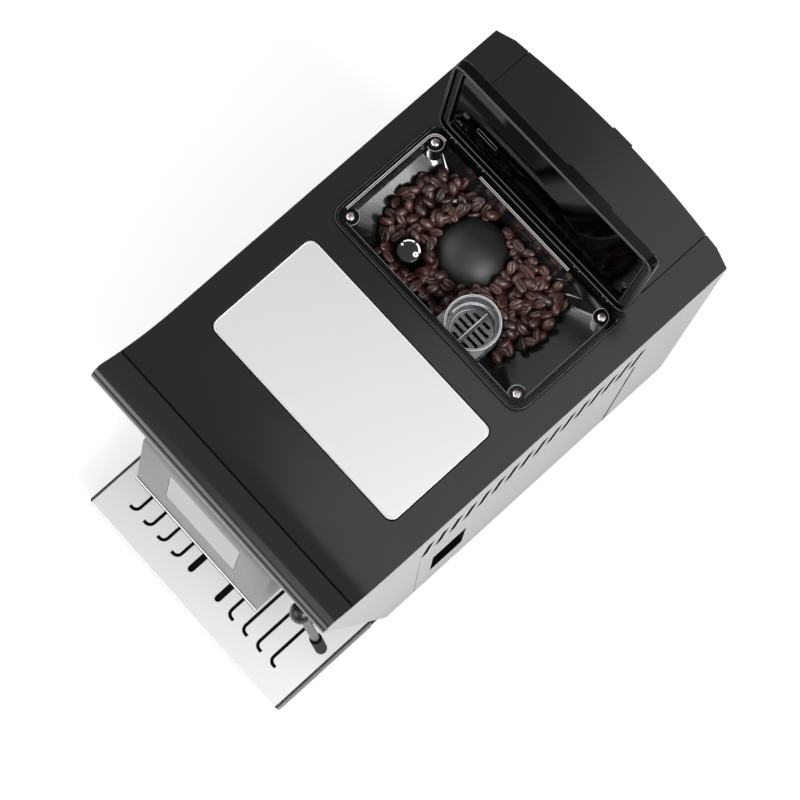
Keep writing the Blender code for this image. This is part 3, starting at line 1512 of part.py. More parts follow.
def hopper_shell():
    """Upright walls, then facets that slope down to the grinder's throat."""
    shell = funnel(
        "hopper_shell", 0.0, HOPPER_TOP, HOPPER_BEND - FUNNEL_WALL, HOPPER_FLOOR - FUNNEL_WALL,
        THROAT_RING + FUNNEL_WALL,
    )
    cut(shell, funnel(
        "hopper_hollow", FUNNEL_WALL, HOPPER_TOP + OVERRUN, HOPPER_BEND, HOPPER_FLOOR, THROAT_RING,
    ))
    for x, y in screw_places():
        boss = drum("screw_boss", (x, y, 0.0), BOSS_RADIUS, HOPPER_BEND, HOPPER_TOP, steps=16)
        join(shell, boss)
    join(shell, drum(
        "knob_boss", (KNOB_X, KNOB_Y, 0.0), KNOB_BOSS, HOPPER_FLOOR + FUNNEL_WALL, KNOB_BOTTOM - GAP,
        steps=20,
    ))
    low = HOPPER_FLOOR - FUNNEL_WALL - OVERRUN
    cut(shell, drum("throat", (CAP_X, CAP_Y, 0.0), THROAT_RADIUS, low, HOPPER_BEND, steps=32))
    cut(shell, drum(
        "chute_hole", (CHUTE_X, CHUTE_Y, 0.0), CHUTE_TUBE + CHUTE_CLEAR, low, HOPPER_BEND + FUNNEL_WALL,
        steps=32,
    ))
    cut(shell, drum("stem_hole", (KNOB_X, KNOB_Y, 0.0), STEM_RADIUS + GAP, low, HOPPER_TOP, steps=16))
    for x, y in screw_places():
        cut(shell, drum(
            "screw_bore", (x, y, 0.0), SCREW_SHANK + GAP, HOPPER_TOP - SCREW_LENGTH,
            HOPPER_TOP + OVERRUN, steps=12,
        ))
    return finish(shell, matt_black())


def lid_axis():
    return Vector((0.0, LID_AXIS_Y, LID_AXIS_Z))


def hopper_rim():
    """The clear frame: a channel for the lid, screw ears and hinge lugs."""
    bottom = COVER_TOP + GAP
    floor = bottom + FRAME_THICK
    top = floor + CHANNEL_DEPTH
    rim = prism("hopper_rim", [frame_outline(0.0)], bottom, top)
    opening = shell_outline(FUNNEL_WALL)
    upstand = shell_outline(FUNNEL_WALL - UPSTAND_WALL)
    channel = [frame_outline(LIP_WALL), upstand]
    cut(rim, prism("lid_channel", channel, floor, top + OVERRUN))
    cut(rim, prism("rim_opening", [opening], bottom - OVERRUN, top + OVERRUN))
    cut(rim, block(
        "finger_notch",
        (TAB_LEFT_X, FRAME_FRONT_Y - OVERRUN, floor),
        (TAB_RIGHT_X, FRAME_FRONT_Y + LIP_WALL + OVERRUN, top + OVERRUN),
    ))
    for x, y in screw_places():
        join(rim, drum("ear", (x, y, 0.0), EAR_RADIUS, bottom, floor, steps=20))
    for side in (-1, 1):
        for start in (BARREL_INNER_X - GAP - LUG_WIDTH, BARREL_OUTER_X + GAP):
            ends = sorted((side * start, side * (start + LUG_WIDTH)))
            lug = [(LID_AXIS_Y - LUG_RADIUS, bottom), (LID_AXIS_Y + LUG_RADIUS, bottom)]
            lug += arc(LID_AXIS_Y, LID_AXIS_Z, LUG_RADIUS, 0.0, math.pi, 8)
            join(rim, prism("lug", [lug], ends[0], ends[1], "X"))
    cut(rim, drum(
        "rod_hole", (0.0, LID_AXIS_Y, LID_AXIS_Z), ROD_RADIUS + PIN_CLEAR,
        -FRAME_X, FRAME_X, "X", steps=12,
    ))
    for x, y in screw_places():
        cut(rim, drum(
            "screw_hole", (x, y, 0.0), SCREW_SHANK + GAP, bottom - OVERRUN, top, steps=12,
        ))
    return finish(rim, smoked_plastic())


def rim_screws():
    seat = COVER_TOP + GAP + FRAME_THICK + GAP
    for number, (x, y) in enumerate(screw_places(), start=1):
        profile = [
            (0.0, seat + SCREW_HEAD_HIGH), (SCREW_HEAD / 2, seat + SCREW_HEAD_HIGH),
            (SCREW_HEAD, seat + SCREW_HEAD_HIGH / 2), (SCREW_HEAD, seat), (SCREW_SHANK, seat),
            (SCREW_SHANK, HOPPER_TOP - SCREW_LENGTH + GAP), (0.0, HOPPER_TOP - SCREW_LENGTH + GAP),
        ]
        screw = turned(f"rim_screw_{number}", profile, (x, y, 0.0), steps=16)
        finish(screw, bright_steel())


def lid_outline(inset):
    return rounded_rectangle(
        -LID_X + inset, LID_X - inset, LID_FRONT_Y + inset, LID_REAR_Y - inset,
        max(LID_CORNER - inset, LID_CORNER / 3),
    )


def opened(*pieces):
    """Swing pieces that were drawn on the closed lid to where it stands open."""
    axis = lid_axis()
    swing = Matrix.Translation(axis) @ Matrix.Rotation(-LID_OPEN, 4, "X") @ Matrix.Translation(-axis)
    for piece in pieces:
        piece.matrix_world = swing @ piece.matrix_world
    return pieces[0]


def hopper_lid():
    """A smoked lid with a deep rim, two hinge barrels and a finger tab."""
    lid = prism("hopper_lid", [lid_outline(0.0)], LID_BOTTOM, LID_TOP)
    hollow = prism("lid_hollow", [lid_outline(LID_RIM)], LID_BOTTOM - OVERRUN, LID_TOP - LID_SKIN)
    groove = [lid_outline(LID_GROOVE_INSET), lid_outline(LID_GROOVE_INSET + LID_GROOVE)]
    under = LID_TOP - LID_SKIN
    rib = prism("inner_rib", groove, under - LID_RIB, under + LID_SKIN / 2)
    tab = block(
        "finger_tab",
        (TAB_LEFT_X + TAB_GAP, LID_FRONT_Y - TAB_REACH, LID_TOP - TAB_DEPTH),
        (TAB_RIGHT_X - TAB_GAP, LID_FRONT_Y + LID_RIM, LID_TOP),
    )
    cut(lid, hollow)
    join(lid, rib, tab)
    pieces = [lid, hollow, rib, tab]
    for side in (-1, 1):
        low, high = sorted((side * BARREL_INNER_X, side * BARREL_OUTER_X))
        web = block(
            "barrel_web",
            (low, LID_REAR_Y - LID_RIM / 2, LID_AXIS_Z - BARREL_RADIUS * WEB_LOW_SHARE),
            (high, LID_AXIS_Y, LID_AXIS_Z + BARREL_RADIUS),
        )
        barrel = drum("barrel", (0.0, LID_AXIS_Y, LID_AXIS_Z), BARREL_RADIUS, low, high, "X", 16)
        bore = drum(
            "barrel_bore", (0.0, LID_AXIS_Y, LID_AXIS_Z), ROD_RADIUS + PIN_CLEAR,
            low - OVERRUN, high + OVERRUN, "X", 12,
        )
        join(lid, web, barrel)
        cut(lid, bore)
        pieces += [web, barrel, bore]
    opened(*pieces)
    return finish(lid, smoked_plastic(), lid_axis())


def lid_gasket(lid):
    """A soft ring between the lid's rim and its inner rib."""
    top = LID_TOP - LID_SKIN - GAP
    rings = [lid_outline(LID_RIM + GAP), lid_outline(LID_GROOVE_INSET - GAP)]
    gasket = opened(prism("lid_gasket", rings, top - GASKET_HEIGHT, top))
    return finish(gasket, black_rubber(), lid_axis(), lid)


def lid_hinge_rod():
    reach = BARREL_OUTER_X + GAP + LUG_WIDTH
    rod = drum("lid_hinge_rod", (0.0, LID_AXIS_Y, LID_AXIS_Z), ROD_RADIUS, -reach, reach, "X", 12)
    return finish(rod, bright_steel())


def powder_chute():
    """A clear funnel for ground coffee, with a slotted floor and a plinth."""
    profile = [
        (0.0, CHUTE_TOP), (CHUTE_RADIUS, CHUTE_TOP), (CHUTE_RADIUS, CHUTE_STEP),
        (CHUTE_TUBE, CHUTE_STEP), (CHUTE_TUBE, CHUTE_NECK_TOP), (CHUTE_NECK, CHUTE_NECK_LOW),
        (CHUTE_NECK, CHUTE_BOTTOM), (0.0, CHUTE_BOTTOM),
    ]
    chute = turned("powder_chute", profile, (CHUTE_X, CHUTE_Y, 0.0), steps=32)
    front = SHELL_FRONT_Y + FUNNEL_WALL + GAP
    plinth_top = CHUTE_TOP - PLINTH_DROP
    plinth = block(
        "plinth", (CHUTE_X - CHUTE_RADIUS, front, CHUTE_STEP), (CHUTE_X + CHUTE_RADIUS, CHUTE_Y, plinth_top),
    )
    cut(plinth, block(
        "plinth_hollow",
        (CHUTE_X - CHUTE_RADIUS + CHUTE_WALL, front + CHUTE_WALL, CHUTE_STEP - OVERRUN),
        (CHUTE_X + CHUTE_RADIUS - CHUTE_WALL, CHUTE_Y + OVERRUN, plinth_top - CHUTE_WALL),
    ))
    join(chute, plinth)
    top_bore = drum(
        "funnel_bore", (CHUTE_X, CHUTE_Y, 0.0), CHUTE_FLOOR_RADIUS, CHUTE_FLOOR, CHUTE_TOP + OVERRUN,
        steps=32, top_radius=CHUTE_RADIUS - CHUTE_WALL,
    )
    wall = CHUTE_WALL
    low_bore = turned("neck_bore", [
        (0.0, CHUTE_FLOOR - CHUTE_WALL), (CHUTE_TUBE - wall, CHUTE_FLOOR - CHUTE_WALL),
        (CHUTE_TUBE - wall, CHUTE_NECK_TOP), (CHUTE_NECK - wall, CHUTE_NECK_LOW),
        (CHUTE_NECK - wall, CHUTE_BOTTOM - OVERRUN), (0.0, CHUTE_BOTTOM - OVERRUN),
    ], (CHUTE_X, CHUTE_Y, 0.0), steps=32)
    cut(chute, top_bore, low_bore)
    slots = []
    for row in range(-CHUTE_SLOT_ROWS, CHUTE_SLOT_ROWS + 1):
        y = row * CHUTE_SLOT_PITCH
        reach = math.sqrt(CHUTE_SLOT_CIRCLE ** 2 - y ** 2)
        for side in (-1, 1):
            ends = sorted((side * CHUTE_RIB, side * reach))
            slots.append(band(
                [(CHUTE_X + ends[0], CHUTE_Y + y), (CHUTE_X + ends[1], CHUTE_Y + y)],
                CHUTE_SLOT_WIDTH / 2,
            ))
    cut(chute, prism("chute_slots", slots, CHUTE_FLOOR - CHUTE_WALL * 2, CHUTE_FLOOR + OVERRUN))
    join(chute, block(
        "chute_rib",
        (CHUTE_X - CHUTE_RIB / 2, CHUTE_Y - CHUTE_FLOOR_RADIUS, CHUTE_FLOOR - CHUTE_WALL / 2),
        (CHUTE_X + CHUTE_RIB / 2, CHUTE_Y + CHUTE_FLOOR_RADIUS, CHUTE_FLOOR + CHUTE_RIB_HIGH),
    ))
    cut(chute, block(
        "chute_flat",
        (CHUTE_X - CHUTE_RADIUS - OVERRUN, CHUTE_Y - CHUTE_RADIUS - OVERRUN, CHUTE_BOTTOM),
        (CHUTE_X + CHUTE_RADIUS + OVERRUN, front, CHUTE_TOP + OVERRUN),
    ))
    return finish(chute, clear_plastic(), (CHUTE_X, CHUTE_Y, CHUTE_BOTTOM))


# The grinder under the hopper

def grinder_cap():
    """A shallow dome over the burrs; beans run in through its four notches."""
    wall = CAP_WALL
    shoulder = HOPPER_FLOOR + GAP + CAP_SKIRT
    rise = CAP_TOP - shoulder
    profile = [(0.0, CAP_TOP)]
    for step in range(1, CAP_STEPS + 1):
        angle = math.pi / 2 * step / CAP_STEPS
        profile.append((CAP_RADIUS * math.sin(angle), shoulder + rise * math.cos(angle)))
    profile += [(CAP_RADIUS, HOPPER_FLOOR + GAP), (CAP_RADIUS - wall, HOPPER_FLOOR + GAP)]
    for step in range(CAP_STEPS, 0, -1):
        angle = math.pi / 2 * step / CAP_STEPS
        profile.append(((CAP_RADIUS - wall) * math.sin(angle), shoulder + (rise - wall) * math.cos(angle)))
    profile.append((0.0, CAP_TOP - wall))
    cap = turned("grinder_cap", profile, (CAP_X, CAP_Y, 0.0), steps=40)
    low = HOPPER_FLOOR - OVERRUN
    high = HOPPER_FLOOR + GAP + CAP_NOTCH_HIGH
    half = CAP_NOTCH_WIDTH / 2
    reach = CAP_RADIUS + OVERRUN
    cut(cap, block("notch", (CAP_X - reach, CAP_Y - half, low), (CAP_X + reach, CAP_Y + half, high)))
    cut(cap, block("notch", (CAP_X - half, CAP_Y - reach, low), (CAP_X + half, CAP_Y + reach, high)))
    return finish(cap, gloss_black())


def grind_knob():
    """A knob on its boss, with a stem down to the pinion of the burr ring."""
    profile = [
        (0.0, KNOB_TOP), (KNOB_RADIUS - KNOB_EDGE, KNOB_TOP), (KNOB_RADIUS, KNOB_TOP - KNOB_EDGE),
        (KNOB_RADIUS, KNOB_BOTTOM), (STEM_RADIUS, KNOB_BOTTOM), (STEM_RADIUS, PINION_TOP),
        (PINION_RADIUS, PINION_TOP), (PINION_RADIUS, PINION_TOP - PINION_THICK),
        (0.0, PINION_TOP - PINION_THICK),
    ]
    knob = turned("grind_knob", profile, (KNOB_X, KNOB_Y, 0.0), steps=24)
    return finish(knob, gloss_black(), (KNOB_X, KNOB_Y, KNOB_BOTTOM))


def ring_wheel_radius():
    between = math.hypot(KNOB_X - CAP_X, KNOB_Y - CAP_Y)
    return between - PINION_RADIUS - GAP


def upper_burr():
    """The ring burr, on a wheel that the knob's pinion turns."""
    top = GRINDER_TOP + RING_THICK + GAP
    under = top - RING_THICK
    profile = [
        (ring_wheel_radius(), top), (ring_wheel_radius(), under), (UPPER_BURR_RADIUS, under),
        (UPPER_BURR_RADIUS, BURR_BOTTOM), (BURR_MOUTH_LOW, BURR_BOTTOM), (BURR_MOUTH_HIGH, top),
    ]
    burr = turned("upper_burr", profile, (CAP_X, CAP_Y, 0.0), steps=32, ring=True)
    return finish(burr, white_ceramic(), (CAP_X, CAP_Y, top))


def lower_burr():
    """The cone burr on the motor's shaft, with grinding flutes."""
    top = GRINDER_TOP - BURR_DROP
    profile = [
        (0.0, top), (BURR_CONE_HIGH, top), (BURR_CONE_LOW, BURR_BOTTOM + BURR_DROP),
        (BURR_CONE_LOW, BURR_BOTTOM), (SHAFT_RADIUS, BURR_BOTTOM), (SHAFT_RADIUS, DECK_TOP + GAP),
        (0.0, DECK_TOP + GAP),
    ]
    burr = turned("lower_burr", profile, (CAP_X, CAP_Y, 0.0), steps=24)
    for flute in range(BURR_FLUTES):
        angle = math.tau * flute / BURR_FLUTES
        place = Vector((CAP_X, CAP_Y, 0.0)) + Vector((math.cos(angle), math.sin(angle), 0.0)) * BURR_CONE_LOW
        cut(burr, drum("flute", place, FLUTE_RADIUS, BURR_BOTTOM - OVERRUN, top + OVERRUN, steps=8))
    return finish(burr, white_ceramic(), (CAP_X, CAP_Y, BURR_BOTTOM))


def grinder_body():
    """The cup that holds both burrs, with its spout towards the brew unit."""
    top = GRINDER_TOP
    body = drum("grinder_body", (CAP_X, CAP_Y, 0.0), GRINDER_RADIUS, DECK_TOP + GAP, top, steps=32)
    cut(body, drum(
        "burr_room", (CAP_X, CAP_Y, 0.0), UPPER_BURR_RADIUS + GAP, BURR_BOTTOM - BURR_DROP,
        top + OVERRUN, steps=32,
    ))
    cut(body, drum(
        "shaft_bore", (CAP_X, CAP_Y, 0.0), SHAFT_RADIUS + GAP, DECK_TOP - OVERRUN, BURR_BOTTOM, steps=16,
    ))
    return finish(body, cast_aluminium())


def grinder_motor():
    top = DECK_TOP - DECK_THICK - GAP
    profile = [
        (0.0, DECK_TOP), (MOTOR_BOSS, DECK_TOP), (MOTOR_BOSS, top), (MOTOR_RADIUS, top),
        (MOTOR_RADIUS, MOTOR_BOTTOM), (MOTOR_BOSS, MOTOR_BOTTOM),
        (MOTOR_BOSS, MOTOR_BOTTOM - MOTOR_TAIL), (0.0, MOTOR_BOTTOM - MOTOR_TAIL),
    ]
    motor = turned("grinder_motor", profile, (CAP_X, CAP_Y, 0.0), steps=28)
    return finish(motor, plain_steel())


# Frame, base and feet

def base_chassis():
    """The floor pan: feet stand under it and the tray slides over it."""
    x = HALF_WIDTH - SHELL - BASE_GAP
    base = block(
        "base_chassis",
        (-x, TRAY_FRONT_Y + BASE_NOSE_INSET, BODY_BOTTOM),
        (x, BASE_REAR_Y, BASE_TOP),
    )
    inner = TRAY_TAIL_X + BASE_GAP
    rear = TRAY_REAR_Y + BASE_GAP
    for side in (-1, 1):
        low, high = sorted((side * inner, side * (inner + SHELL)))
        join(base, block("guide", (low, GUIDE_FRONT_Y, BASE_TOP - GAP), (high, rear + SHELL, GUIDE_TOP)))
    join(base, block("stop", (-inner - GAP, rear, BASE_TOP - GAP), (inner + GAP, rear + SHELL, GUIDE_TOP)))
    for x, y in foot_places():
        cut(base, drum(
            "foot_hole", (x, y, 0.0), FOOT_STEM + GAP, BODY_BOTTOM - OVERRUN, BASE_TOP + OVERRUN, steps=12,
        ))
    return finish(base, matt_black())


def foot_places():
    return [(side * FOOT_X, y) for y in (FOOT_FRONT_Y, FOOT_REAR_Y) for side in (-1, 1)]


def feet():
    names = ("front_left", "front_right", "rear_left", "rear_right")
    for name, (x, y) in zip(names, foot_places()):
        profile = [
            (0.0, BASE_TOP - GAP), (FOOT_STEM, BASE_TOP - GAP), (FOOT_STEM, BODY_BOTTOM - GAP),
            (FOOT_RADIUS, BODY_BOTTOM - GAP), (FOOT_RADIUS - FOOT_TAPER, 0.0), (0.0, 0.0),
        ]
        foot = turned(f"foot_{name}", profile, (x, y, 0.0), steps=24)
        finish(foot, black_rubber())


def inner_frame():
    """Deck, four posts and the tank's shelf, all one moulding."""
    deck_x = HALF_WIDTH - SHELL - BASE_GAP
    low = DECK_TOP - DECK_THICK
    frame = block("inner_frame", (-deck_x, DECK_FRONT_Y, low), (deck_x, DECK_REAR_Y, DECK_TOP))
    half = POST_SIZE / 2
    for x in (-POST_X, POST_X):
        for y in (POST_FRONT_Y, POST_REAR_Y):
            join(frame, block(
                "post", (x - half, y - half, BASE_TOP + GAP), (x + half, y + half, low + DECK_THICK / 2),
            ))
    shelf_top = TANK_BOTTOM - GAP
    shelf_x = POST_X + half
    shelf = block(
        "shelf", (-shelf_x, POST_REAR_Y, shelf_top - DECK_THICK), (shelf_x, SHELF_REAR_Y, shelf_top),
    )
    join(frame, shelf)
    for side in (-1, 1):
        ends = sorted((side * SHELF_WEB_X, side * (SHELF_WEB_X + SHELL)))
        join(frame, block(
            "shelf_web",
            (ends[0], POST_REAR_Y, BASE_TOP + GAP),
            (ends[1], SHELF_REAR_Y - SHELL, shelf_top - DECK_THICK / 2),
        ))
    for x, y, radius, bottom, top in (
        (CAP_X, CAP_Y, MOTOR_BOSS + GAP, low, DECK_TOP),
        (CHUTE_X, CHUTE_Y, CHUTE_NECK + GAP, low, DECK_TOP),
        (PUMP_X, PUMP_HOSE_Y, HOSE_RADIUS + OVERRUN, low, DECK_TOP),
        (VALVE_X, VALVE_Y, VALVE_RADIUS + GAP, shelf_top - DECK_THICK, shelf_top),
    ):
        cut(frame, drum(
            "frame_hole", (x, y, 0.0), radius, bottom - OVERRUN, top + OVERRUN, steps=20,
        ))
    cut(frame, block(
        "hose_notch",
        (WAND_X - NOTCH_WIDTH / 2, DECK_FRONT_Y - OVERRUN, low - OVERRUN),
        (WAND_X + NOTCH_WIDTH / 2, DECK_FRONT_Y + NOTCH_WIDTH, DECK_TOP + OVERRUN),
    ))
    return finish(frame, matt_black())


# Water tank, pump, heater and hoses

def tank_outline(inset):
    x = TANK_X - inset
    rear = back_points(x, SHELL + TANK_REAR_GAP + inset)
    return [(x, TANK_WALL_Y + inset), (-x, TANK_WALL_Y + inset)] + [(x_, y) for x_, y in rear]


def water_tank():
    """An open tank with a valve below and two ears for the lid's hinge."""
    top = COVER_TOP - TANK_LID_THICK - GAP * 2
    tank = prism("water_tank", [tank_outline(0.0)], TANK_BOTTOM, top)
    cut(tank, prism("tank_room", [tank_outline(TANK_WALL)], TANK_BOTTOM + TANK_WALL, top + OVERRUN))
    join(tank, drum(
        "valve", (VALVE_X, VALVE_Y, 0.0), VALVE_RADIUS, TANK_BOTTOM - VALVE_LENGTH,
        TANK_BOTTOM + TANK_WALL / 2, steps=20,
    ))
    cut(tank, drum(
        "valve_bore", (VALVE_X, VALVE_Y, 0.0), VALVE_BORE, TANK_BOTTOM - VALVE_LENGTH - OVERRUN,
        TANK_BOTTOM + TANK_WALL + OVERRUN, steps=12,
    ))
    axis_z = COVER_TOP - TANK_LID_THICK / 2
    for side in (-1, 1):
        ends = sorted((side * EAR_X, side * (EAR_X + EAR_WIDTH)))
        join(tank, block(
            "ear",
            (ends[0], TANK_WALL_Y, top - TANK_WALL),
            (ends[1], TANK_AXIS_Y + TANK_LID_THICK / 2 - GAP, COVER_TOP - GAP),
        ))
        pin = sorted((side * (EAR_X - EAR_PIN), side * (EAR_X + EAR_WIDTH / 2)))
        join(tank, drum("ear_pin", (0.0, TANK_AXIS_Y, axis_z), EAR_PIN_RADIUS, *pin, "X", 12))
    return finish(tank, clear_plastic(), (0.0, TANK_WALL_Y, TANK_BOTTOM))


def tank_lid(tank):
    """A lid that follows the bowed back, with a small grip tab behind."""
    bottom = COVER_TOP - TANK_LID_THICK
    x = TANK_GAP_X - LID_SIDE_GAP
    rear = back_points(x, 0.0)
    middle = len(rear) // 2
    tab = [
        (-GRIP_TAB_X, back_edge(GRIP_TAB_X)), (-GRIP_TAB_X, MACHINE_REAR_Y),
        (GRIP_TAB_X, MACHINE_REAR_Y), (GRIP_TAB_X, back_edge(GRIP_TAB_X)),
    ]
    plan = [(x, TANK_AXIS_Y), (-x, TANK_AXIS_Y)]
    plan += rear[:middle] + tab + rear[middle + 1:]
    lid = prism("tank_lid", [plan], bottom, COVER_TOP)
    axis_z = COVER_TOP - TANK_LID_THICK / 2
    join(lid, drum("lid_edge", (0.0, TANK_AXIS_Y, axis_z), TANK_LID_THICK / 2, -x, x, "X", 16))
    for side in (-1, 1):
        notch = sorted((side * (EAR_X - GAP), side * (EAR_X + EAR_WIDTH + GAP)))
        cut(lid, block(
            "ear_notch",
            (notch[0], TANK_AXIS_Y - TANK_LID_THICK, bottom - OVERRUN),
            (notch[1], TANK_AXIS_Y + TANK_LID_THICK, COVER_TOP + OVERRUN),
        ))
        bore = sorted((side * (EAR_X - EAR_PIN - GAP), side * EAR_X))
        cut(lid, drum(
            "pin_bore", (0.0, TANK_AXIS_Y, axis_z), EAR_PIN_RADIUS + PIN_CLEAR, *bore, "X", 12,
        ))
    return finish(lid, gloss_black(), (0.0, TANK_AXIS_Y, axis_z), tank)


def pump():
    """A vibrating pump: coil round a barrel, on a foot that stands on the pan."""
    foot = BASE_TOP + GAP
    body = drum("pump", (PUMP_X, 0.0, PUMP_Z), PUMP_BARREL, PUMP_FRONT_Y, PUMP_REAR_Y, "Y", 20)
    join(
        body,
        drum("coil", (PUMP_X, 0.0, PUMP_Z), PUMP_COIL, PUMP_COIL_FRONT_Y, PUMP_COIL_REAR_Y, "Y", 28),
        block(
            "pump_foot",
            (PUMP_X - PUMP_COIL, PUMP_COIL_FRONT_Y + PUMP_BARREL, foot),
            (PUMP_X + PUMP_COIL, PUMP_COIL_REAR_Y - PUMP_BARREL, PUMP_Z - PUMP_BARREL),
        ),
    )
    return finish(body, plain_steel())


def thermoblock():
    """The cast water heater on the deck, with cooling ribs on top."""
    low = DECK_TOP + GAP
    block_shape = block(
        "thermoblock",
        (HEATER_LEFT_X, HEATER_FRONT_Y, low), (HEATER_RIGHT_X, HEATER_REAR_Y, low + HEATER_HIGH),
    )
    round_edges(block_shape, HEATER_ROUND)
    pitch = (HEATER_REAR_Y - HEATER_FRONT_Y) / (HEATER_RIBS + 1)
    grooves = []
    for index in range(HEATER_RIBS):
        y = HEATER_FRONT_Y + pitch * (index + 1)
        top = low + HEATER_HIGH
        grooves.append([
            (y - HEATER_GROOVE / 2, top - HEATER_GROOVE * 2), (y + HEATER_GROOVE / 2, top - HEATER_GROOVE * 2),
            (y + HEATER_GROOVE / 2, top + OVERRUN), (y - HEATER_GROOVE / 2, top + OVERRUN),
        ])
    cut(block_shape, prism(
        "heater_grooves", grooves, HEATER_LEFT_X - OVERRUN, HEATER_RIGHT_X + OVERRUN, "X",
    ))
    return finish(block_shape, cast_aluminium())


def circuit_board():
    """The control board on four pillars, with its relays and capacitor."""
    bottom = DECK_TOP + BOARD_LIFT
    top = bottom + BOARD_THICK
    board = block("circuit_board", (BOARD_LEFT_X, BOARD_FRONT_Y, bottom), (BOARD_RIGHT_X, BOARD_REAR_Y, top))
    edge = BOARD_PILLAR * 2
    for x in (BOARD_LEFT_X + edge, BOARD_RIGHT_X - edge):
        for y in (BOARD_FRONT_Y + edge, BOARD_REAR_Y - edge):
            join(board, drum("pillar", (x, y, 0.0), BOARD_PILLAR, DECK_TOP + GAP, bottom + GAP, steps=10))
    for index in range(RELAY_COUNT):
        x = BOARD_LEFT_X + RELAY_PITCH * (index + 1)
        join(board, block(
            "relay",
            (x, BOARD_REAR_Y - edge - RELAY_LONG, top - GAP),
            (x + RELAY_WIDE, BOARD_REAR_Y - edge, top + RELAY_HIGH),
        ))
    join(board, drum(
        "capacitor", (BOARD_RIGHT_X - RELAY_PITCH, BOARD_FRONT_Y + RELAY_PITCH, 0.0),
        BOARD_PILLAR * 2, top - GAP, top + RELAY_HIGH, steps=16,
    ))
    return finish(board, green_board())


def hoses():
    """Three hoses: tank to pump, pump to heater, heater to steam wand."""
    valve_end = Vector((VALVE_X, VALVE_Y, TANK_BOTTOM - VALVE_LENGTH - GAP))
    pump_in = Vector((PUMP_X, PUMP_REAR_Y + GAP, PUMP_Z))
    pump_out = Vector((PUMP_X, PUMP_FRONT_Y - GAP, PUMP_Z))
    heater_in = Vector((PUMP_X, HEATER_REAR_Y + GAP, DECK_TOP + HEATER_HIGH / 2))
    heater_out = Vector((HOSE_OUT_X, HEATER_FRONT_Y - GAP, DECK_TOP + HEATER_HIGH / 2))
    collar = on_fascia(WAND_X, WAND_Z)
    routes = {
        "hose_tank_to_pump": [
            valve_end, valve_end - Vector((0.0, 0.0, HOSE_BEND)),
            (VALVE_X, VALVE_Y - HOSE_BEND / 4, PUMP_Z + HOSE_BEND),
            pump_in + Vector((0.0, HOSE_BEND / 2, 0.0)), pump_in,
        ],
        "hose_pump_to_heater": [
            pump_out, pump_out - Vector((0.0, HOSE_BEND / 2, 0.0)),
            (PUMP_X, PUMP_HOSE_Y, PUMP_Z + HOSE_BEND), (PUMP_X, PUMP_HOSE_Y, DECK_TOP - HOSE_BEND / 2),
            (PUMP_X, PUMP_HOSE_Y, DECK_TOP + HOSE_RADIUS),
            heater_in + Vector((0.0, HOSE_RADIUS * 3, 0.0)), heater_in,
        ],
        "hose_heater_to_wand": [
            heater_out, heater_out - Vector((0.0, HOSE_BEND / 2, 0.0)),
            (HEATER_RIGHT_X, BOARD_FRONT_Y - HOSE_BEND / 2, DECK_TOP + HEATER_HIGH / 2),
            (BOARD_LEFT_X, BOARD_FRONT_Y - HOSE_BEND / 2, DECK_TOP + HEATER_HIGH / 3),
            collar @ Vector((-HOSE_BEND / 2, 0.0, -HOSE_BEND)),
            collar @ Vector((0.0, 0.0, -HOSE_BEND / 3)), collar @ Vector((0.0, 0.0, -GAP)),
        ],
    }
    for name, knots in routes.items():
        finish(tube(name, squared_path(knots), HOSE_RADIUS, 1), silicone_hose())


def squared_path(knots):
    """A smooth path whose two ends leave and arrive square to their ports."""
    knots = [Vector(knot) for knot in knots]
    path = smooth_path(knots, HOSE_STEPS)
    first = (knots[1] - knots[0]).normalized() * HOSE_RADIUS
    last = (knots[-2] - knots[-1]).normalized() * HOSE_RADIUS
    ends = (path[0], path[-1])
    middle = [spot for spot in path if min((spot - end).length for end in ends) > HOSE_RADIUS * 2]
    return [path[0], path[0] + first] + middle + [path[-1] + last, path[-1]]


# The brew unit

def brew_unit():
    """A frame with the brewing chamber, open in front of its drive."""
    low = BASE_TOP + GAP
    wall = BREW_WALL
    unit = block("brew_unit", (BREW_LEFT_X, BREW_FRONT_Y, low), (BREW_RIGHT_X, BREW_REAR_Y, BREW_TOP))
    cut(unit, block(
        "brew_room",
        (BREW_LEFT_X + wall, BREW_FRONT_Y - OVERRUN, low + wall),
        (BREW_RIGHT_X - wall, BREW_REAR_Y - wall, BREW_TOP - wall),
    ))
    join(unit, block(
        "chamber_shelf",
        (BREW_LEFT_X + wall / 2, BREW_FRONT_Y, CHAMBER_LOW),
        (BREW_RIGHT_X - wall / 2, CHAMBER_Y + CHAMBER_RADIUS, CHAMBER_LOW + wall),
    ))
    join(unit, drum(
        "chamber", (CHAMBER_X, CHAMBER_Y, 0.0), CHAMBER_RADIUS, CHAMBER_LOW + wall / 2, CHAMBER_TOP, steps=32,
    ))
    cut(unit, drum(
        "chamber_bore", (CHAMBER_X, CHAMBER_Y, 0.0), CHAMBER_RADIUS - wall, CHAMBER_LOW + wall,
        CHAMBER_TOP + OVERRUN, steps=32,
    ))
    cut(unit, drum(
        "powder_hole", (CHUTE_X, CHUTE_Y, 0.0), CHUTE_NECK + wall, BREW_TOP - wall * 2,
        BREW_TOP + OVERRUN, steps=24,
    ))
    for z in (low - OVERRUN, BREW_TOP - wall - OVERRUN):
        cut(unit, drum(
            "screw_bearing", (CHAMBER_X, SCREW_Y, 0.0), DRIVE_RADIUS * BEARING_SHARE + GAP,
            z, z + wall + OVERRUN * 2, steps=16,
        ))
    return finish(unit, matt_black())


